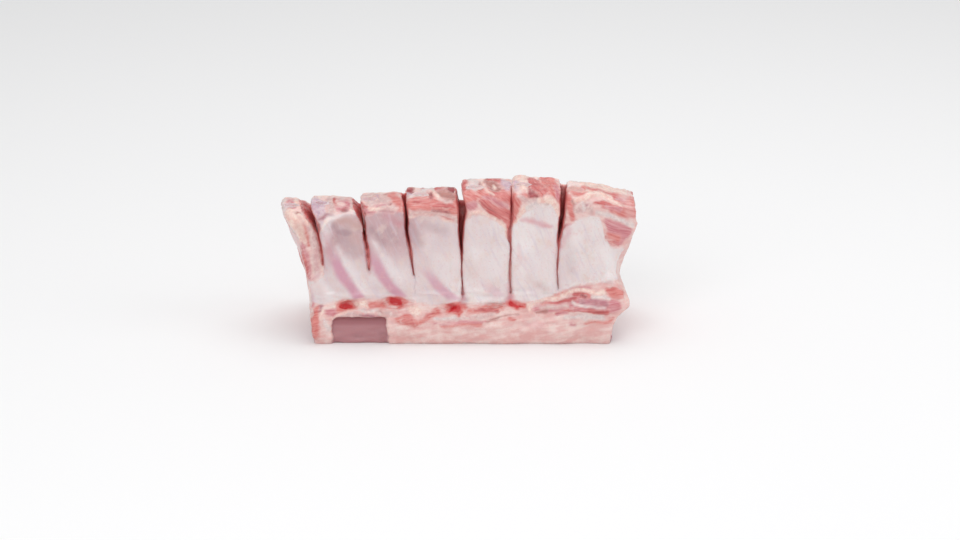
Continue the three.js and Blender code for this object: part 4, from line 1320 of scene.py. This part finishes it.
def make_sawn_bone():
    inputs = {"Place": ("Vector", None), "Core": ("Float", 0.0), "Rim": ("Color", srgb(222, 206, 211)),
              "Sponge": ("Color", srgb(204, 172, 184)), "Marrow": ("Color", srgb(168, 84, 92))}
    group, source, drain = new_group("sawn bone", inputs, {"Color": "Color", "Height": "Float"})
    cells = {"Vector": source["Place"], "Scale": 1 / SPONGE_CELL, "Randomness": 1.0}
    walls = add(group, "TexVoronoi", cells, feature="DISTANCE_TO_EDGE").outputs["Distance"]
    hollow = ramp_between(group, walls, 0.08, 0.30)
    soaked = ramp_between(group, cloud(group, source["Place"], 3.0, 3.0), 0.42, 0.62)
    in_core = ramp_between(group, source["Core"], 0.7, 1.5)
    sponge = mixed(group, product_of(group, hollow, soaked), source["Sponge"], source["Marrow"])
    plug(group, drain["Color"], mixed(group, in_core, source["Rim"], sponge))
    plug(group, drain["Height"], product_of(group, product_of(group, hollow, in_core), -0.25))
    return group


sawn_bone = make_sawn_bone()
print("groups:", [g.name for g in bpy.data.node_groups])

# %% [markdown]
# ## Raw meat
#
# One material dresses the whole skin, because the tissues grow into each other. It starts with
# fat and lays over it lean, the other tissues one by one, the membrane with the ribs and its
# darker pink flush, the tints, the raw marrow, the sawn-out notch and the walls of the knife cuts.
# Two tints are partly painted light: pale bands of painted light on the ribs' ridges, and grey
# bands of painted shade beside them. The notch has painted shade under its top edge and painted
# light lower down. Each layer's border comes from a mask of the skin. Light goes a little way into
# meat and comes out redder, so the shader scatters it under the surface, and a thin clear coat
# stands for the film of juice.

# %% Colours of raw lamb
LEAN_DEEP = srgb(174, 72, 71)
LEAN_MIDDLE = srgb(202, 104, 102)
LEAN_PALE = srgb(218, 140, 135)
FAT_CREAM = srgb(242, 221, 211)
FAT_PINK = srgb(235, 206, 197)
FAT_THIN = srgb(218, 158, 150)
FRONT_FAT_CREAM = srgb(234, 208, 202)
FRONT_FAT_PINK = srgb(222, 172, 168)
MEMBRANE_PEARL = srgb(232, 222, 221)
MEMBRANE_FLUSHED = srgb(200, 166, 170)
MEMBRANE_WARM = srgb(224, 204, 196)
MEMBRANE_COOL = srgb(212, 198, 208)
RIB_LILAC = srgb(206, 148, 168)
MARROW_RED = srgb(196, 10, 24)
MARROW_EDGE = srgb(216, 86, 82)
CUT_RED = srgb(206, 98, 98)
CUT_PALE = srgb(222, 162, 160)
# The notch is mauve, with a dark red painted shade under its top edge and a paler painted light lower
# down.
NOTCH_PAINTED_SHADE = srgb(142, 76, 80)
NOTCH_MAUVE = srgb(164, 102, 108)
NOTCH_PAINTED_LIGHT = srgb(186, 134, 138)

# Each tint: its colour, and how far it can hide what is under it.
TINT_LOOKS = (
    # The milky tint is partly painted light on the ribs' ridges. The dusky one is partly painted shade.
    ("milky_and_painted_light", srgb(238, 232, 232), 0.55),
    ("dusky_and_painted_shade", srgb(164, 134, 140), 0.65),
    ("tan", srgb(202, 160, 150), 0.75),
    ("pinkish", srgb(210, 130, 140), 0.55),
)
# Each tissue: its usual colour, its paler or darker variant, and how soft its border is.
TISSUE_LOOKS = (
    ("salmon", srgb(203, 101, 96), srgb(220, 144, 137), 1.2),
    ("rose", srgb(195, 111, 120), srgb(213, 149, 153), 1.2),
    ("deep", srgb(140, 42, 50), srgb(172, 72, 76), 1.0),
    ("brown", srgb(164, 102, 98), srgb(192, 134, 126), 1.0),
    ("mauve", srgb(158, 98, 110), srgb(180, 120, 130), 1.3),
    ("lilac", srgb(194, 162, 178), srgb(214, 190, 196), 1.1),
    ("veil", srgb(206, 168, 166), srgb(222, 196, 191), 1.2),
    ("pearl", srgb(212, 194, 193), srgb(230, 214, 210), 1.0),
    ("cream", srgb(240, 216, 205), srgb(228, 186, 177), 0.9),
)
FIBROUS_TISSUES = ("salmon", "rose", "brown", "mauve")
SCATTER_COLOURS = (1.0, 0.42, 0.34)  # how far red, green and blue light go into meat, as shares


def tissue_mask(tree, name, torn, softness, tear=1.8):
    values = {"Field": mask(tree, name), "Torn": torn, "Tear": tear, "Softness": softness}
    return place_group(tree, ragged_edge, values)["Mask"]


def fat_colours(tree, place, fibre_place):
    """Fat: creamy on the fat side, pinker and thinner on the inner side."""
    clouds = cloud(tree, place, 6.0, 5.0, 0.6)
    streaks = cloud(tree, fibre_place, 3.0, 4.0, 0.6)
    broad = cloud(tree, place, 24.0, 3.0, 0.5)
    small = product_of(tree, sum_of(tree, streaks, clouds), 0.25)
    uneven = sum_of(tree, product_of(tree, broad, 0.5), small)
    behind = mixed(tree, ramp_between(tree, uneven, 0.40, 0.60), FAT_CREAM, FAT_PINK)
    depth = sum_of(tree, product_of(tree, broad, 0.6), product_of(tree, streaks, 0.4))
    thin = ramp_between(tree, depth, 0.54, 0.66, 0.0, 0.55)
    behind = mixed(tree, thin, behind, FAT_THIN)
    streaked = product_of(tree, sum_of(tree, clouds, streaks), 0.5)
    in_front = mixed(tree, ramp_between(tree, streaked, 0.38, 0.62), FRONT_FAT_CREAM, FRONT_FAT_PINK)
    return mixed(tree, mask(tree, "on_fat_side"), in_front, behind)


def lean_colours(tree, place, fibre):
    """Lean: bundles of fibres from deep to pale red."""
    broad = cloud(tree, place, 9.0, 3.0)
    tone = sum_of(tree, product_of(tree, fibre, 0.5), product_of(tree, broad, 0.5))
    colour = mixed(tree, ramp_between(tree, tone, 0.46, 0.66), LEAN_MIDDLE, LEAN_PALE)
    return mixed(tree, ramp_between(tree, tone, 0.52, 0.34), colour, LEAN_DEEP)


def membrane_colours(tree, place, fibre_place, under):
    """The membrane: pearl, flushed with pink, streaked along the ribs, thin in places."""
    sheet = mixed(tree, mask(tree, "flush"), MEMBRANE_PEARL, MEMBRANE_FLUSHED)
    warm = ramp_between(tree, cloud(tree, place, 7.0, 4.0, 0.6), 0.50, 0.70, 0.0, 0.6)
    sheet = mixed(tree, warm, sheet, MEMBRANE_WARM)
    streaks = ramp_between(tree, cloud(tree, fibre_place, 1.8, 4.0, 0.6), 0.48, 0.72, 0.0, 0.55)
    sheet = mixed(tree, streaks, sheet, MEMBRANE_COOL)
    sheet = mixed(tree, mask(tree, "rib_stripe"), sheet, RIB_LILAC)
    thin = ramp_between(tree, cloud(tree, place, 4.0, 5.0, 0.65), 0.48, 0.8, 0.0, 0.4)
    return mixed(tree, thin, sheet, under)


def meat_colour(tree, place):
    """The colour of the skin, the noise of its fibres and its lean mask."""
    fibre_place = add(tree, "Attribute", attribute_name="grain").outputs["Vector"]
    fibre = cloud(tree, fibre_place, 1.0, 4.0, 0.6)
    torn = cloud(tree, place, 2.4, 5.0, 0.7)
    frayed = product_of(tree, sum_of(tree, torn, cloud(tree, fibre_place, 1.5, 4.0, 0.65)), 0.5)
    patchy = ramp_between(tree, cloud(tree, place, 2.6, 5.0, 0.7), 0.38, 0.64)
    fibrous = ramp_between(tree, fibre, 0.30, 0.68)
    film = ramp_between(tree, cloud(tree, fibre_place, 2.4, 5.0, 0.66), 0.50, 0.76, 0.0, 0.35)

    lean_mask = tissue_mask(tree, "lean", frayed, 0.8, 3.0)
    lean_look = mixed(tree, film, lean_colours(tree, place, fibre), FRONT_FAT_CREAM)
    colour = mixed(tree, lean_mask, fat_colours(tree, place, fibre_place), lean_look)
    for name, usual, variant, softness in TISSUE_LOOKS:
        if name in FIBROUS_TISSUES:
            look = mixed(tree, film, mixed(tree, fibrous, usual, variant), FRONT_FAT_CREAM)
            colour = mixed(tree, tissue_mask(tree, name, frayed, softness, 3.0), colour, look)
        else:
            look = mixed(tree, patchy, usual, variant)
            colour = mixed(tree, tissue_mask(tree, name, torn, softness), colour, look)
    sheet_mask = tissue_mask(tree, "membrane", torn, 1.0, 2.4)
    colour = mixed(tree, sheet_mask, colour, membrane_colours(tree, place, fibre_place, colour))

    for name, look, strength in TINT_LOOKS:
        colour = mixed(tree, product_of(tree, mask(tree, name), strength), colour, look)
    speckled = ramp_between(tree, cloud(tree, place, 0.9, 3.0, 0.6), 0.56, 0.74, 0.0, 0.22)
    colour = mixed(tree, speckled, colour, LEAN_MIDDLE)
    marrow = mixed(tree, ramp_between(tree, mask(tree, "marrow"), 0.0, 1.3), MARROW_EDGE, MARROW_RED)
    marrow = mixed(tree, product_of(tree, patchy, 0.2), marrow, MARROW_EDGE)
    colour = mixed(tree, tissue_mask(tree, "marrow", torn, 1.4, 1.2), colour, marrow)
    level = add(tree, "SeparateXYZ", {0: place}).outputs[2]
    # Painted shade: the notch darkens towards its top edge, where the backbone overhangs it. Painted
    # light: it turns paler lower down.
    notch_mauve_and_painted_light = mixed(tree, ramp_between(tree, level, 14.0, 11.5), NOTCH_PAINTED_SHADE, NOTCH_MAUVE)
    notch_mauve_and_painted_light = mixed(tree, ramp_between(tree, level, 11.5, 9.0, 0.0, 0.7), notch_mauve_and_painted_light, NOTCH_PAINTED_LIGHT)
    colour = mixed(tree, mask(tree, "notch"), colour, notch_mauve_and_painted_light)
    cut_look = mixed(tree, mask(tree, "closed"), CUT_RED, CUT_PALE)
    colour = mixed(tree, product_of(tree, mask(tree, "in_cut"), 0.7), colour, cut_look)
    return colour, fibre, lean_mask


def make_meat():
    material = principled("raw_meat", Roughness=0.4, Coat_Weight=0.25, Coat_Roughness=0.18,
                          Subsurface_Weight=0.3, Subsurface_Scale=1.6 * MM)
    tree = material.node_tree
    tree.nodes["Principled BSDF"].inputs["Subsurface Radius"].default_value = SCATTER_COLOURS
    place = millimetres(tree)
    colour, fibre, lean_mask = meat_colour(tree, place)
    damp = place_group(tree, damp_surface, {"Place": place, "Dry": 0.52, "Wet": 0.30, "Size": 5.0})
    ridges = product_of(tree, product_of(tree, fibre, lean_mask), 0.35)
    speckle = product_of(tree, cloud(tree, place, 0.9, 3.0), 0.10)
    height = sum_of(tree, sum_of(tree, ridges, speckle), product_of(tree, damp["Height"], 0.12))
    dress(tree, colour, damp, height)
    return material


flesh.data.materials.clear()
flesh.data.materials.append(make_meat())
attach(flesh, "root")
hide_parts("flesh")
print("dressed", flesh.name)

# %% [markdown]
# ## Bones
#
# The saw cut the ribs off level with the meat and split the backbone. Inside, a bone is spongy
# and red; its wall is thin, dense and pale. Each bone is a skin of voxels round its plain solid.
# Its `core` mask says where the sponge shows: inside the wall of a rib's sawn end, and all over
# the backbone but for the discs between its vertebrae.

# %% Rib bones
RIB_VOXEL = 0.45
RIB_SWELL = 0.1
RIB_WALL = 3.6  # turns the share of the way to a rib's middle into millimetres
PROUD = 0.15  # how far a sawn end stands out of the meat
RIB_PALENESS = (0.6, 0.1, 0.5, 0.8, 0.9, 0.7, 0.9)  # from lilac to cream
RIB_ROSINESS = (0.1, 0.0, 0.3, 0.1, 0.0, 0.2, 1.0)  # how much a film of meat covers the end
RIB_FILM = srgb(224, 170, 162)


def bone_material(name, rim, sponge, red, pale=(0.85, 0.75, 0.72, 1.0)):
    """A sawn bone. Where its `paleness` is 1, the whole cut face is nearly the pale colour."""
    material = principled(name, Roughness=0.5, Coat_Weight=0.2, Coat_Roughness=0.2,
                          Subsurface_Weight=0.2, Subsurface_Scale=1.2 * MM)
    tree = material.node_tree
    place = millimetres(tree)
    values = {"Place": place, "Core": mask(tree, "core"), "Rim": rim, "Sponge": sponge, "Marrow": red}
    bone = place_group(tree, sawn_bone, values)
    damp = place_group(tree, damp_surface, {"Place": place, "Dry": 0.55, "Wet": 0.3, "Size": 2.5})
    paleness = product_of(tree, mask(tree, "paleness"), 0.75)
    colour = mixed(tree, paleness, bone["Color"], pale)
    colour = mixed(tree, product_of(tree, mask(tree, "rosiness"), 0.8), colour, RIB_FILM)
    level = add(tree, "SeparateXYZ", {0: place}).outputs[2]
    # Painted light: the notch turns paler lower down.
    notch_mauve_and_painted_light = mixed(tree, ramp_between(tree, level, 11.5, 9.0, 0.0, 0.7), NOTCH_MAUVE, NOTCH_PAINTED_LIGHT)
    colour = mixed(tree, mask(tree, "notch"), colour, notch_mauve_and_painted_light)
    height = sum_of(tree, bone["Height"], product_of(tree, damp["Height"], 0.1))
    dress(tree, colour, damp, height)
    return material


def finish_bone(bone, node, material, masks):
    """Gives a bone its masks, each a value or one value per point, and hands it over."""
    for name, values in masks.items():
        set_mask(bone.data, name, np.zeros(len(bone.data.vertices)) + values)
    bone.data.materials.clear()
    bone.data.materials.append(material)
    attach(bone, "root")
    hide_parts(node)


def make_rib(number, node, material):
    rib = solid_copy("sawn_rib_%d" % (number + 1), [node], lambda node: RIB_SWELL)
    voxel_skin(rib, RIB_VOXEL)
    points = smoothed(points_of(rib.data), edges_of(rib.data), 3)
    end = rib_ends[number]
    off = np.hypot((points[:, 0] - end[0]) / RIB_RADII[0], (points[:, 1] - end[1]) / RIB_RADII[1])
    top = top_face.at(points)
    at_end = step(points[:, 2], top - 3.0, top - 0.4)
    core = (1 - off) * RIB_WALL * at_end
    sunk = 0.35 * step(core, 0.9, 1.6) * (1 + 0.8 * noise(points, 1.4, shift=60))
    sunk += 0.5 * step(off, 0.82, 1.0)
    chips = 0.22 * noise(points, 1.1, shift=61) + 0.25 * noise(points, 4.0, shift=62)
    points[:, 2] += (PROUD - sunk + chips) * at_end
    set_points(rib.data, points)
    masks = {"notch": 0, "paleness": RIB_PALENESS[number], "rosiness": RIB_ROSINESS[number],
             "core": core}
    finish_bone(rib, node, material, masks)
    return rib


rib_material = bone_material("rib_bone_sawn", rim=srgb(218, 198, 204), sponge=srgb(206, 172, 184),
                             red=srgb(176, 104, 118), pale=srgb(228, 204, 198))
ribs = [make_rib(number, node, rib_material) for number, node in enumerate(RIB_NODES)]
print("ribs:", [len(rib.data.vertices) for rib in ribs])

# %% Split backbone
CHINE_VOXEL = 0.6
CHINE_SWELL = 0.3
CHINE_ROUGHNESS = 0.25
CHINE_FLAT = 0.6  # what lies lower than this is pressed flat, for the foot
DISC_SPACING = 25.5
DISC_PLACE = -59.0  # one of the discs; the others follow at even spacing

chine = solid_copy("split_backbone", ["chine_bone"], lambda node: CHINE_SWELL)
voxel_skin(chine, CHINE_VOXEL)
chine_points = smoothed(points_of(chine.data), edges_of(chine.data), 3)
past_disc = (chine_points[:, 0] - DISC_PLACE + DISC_SPACING / 2) % DISC_SPACING
off_disc = np.abs(past_disc - DISC_SPACING / 2)
chine_core = 2.2 * step(off_disc, 1.2, 2.4) + 0.6 * noise(chine_points, 4.0, shift=64)
bumps = CHINE_ROUGHNESS * rough(chine_points, 4, 3, shift=66)
chine_points += normals_of(chine.data) * bumps[:, None]
chine_points[:, 2] = np.where(chine_points[:, 2] < CHINE_FLAT, 0.0, chine_points[:, 2])
set_points(chine.data, chine_points)
chine_material = bone_material("backbone_sawn", rim=srgb(214, 182, 190), sponge=srgb(205, 150, 158),
                               red=srgb(160, 62, 70))
chine_masks = {"notch": in_notch(chine_points), "paleness": 0, "rosiness": 0, "core": chine_core}
finish_bone(chine, "chine_bone", chine_material, chine_masks)
print("backbone:", len(chine_points), "points")
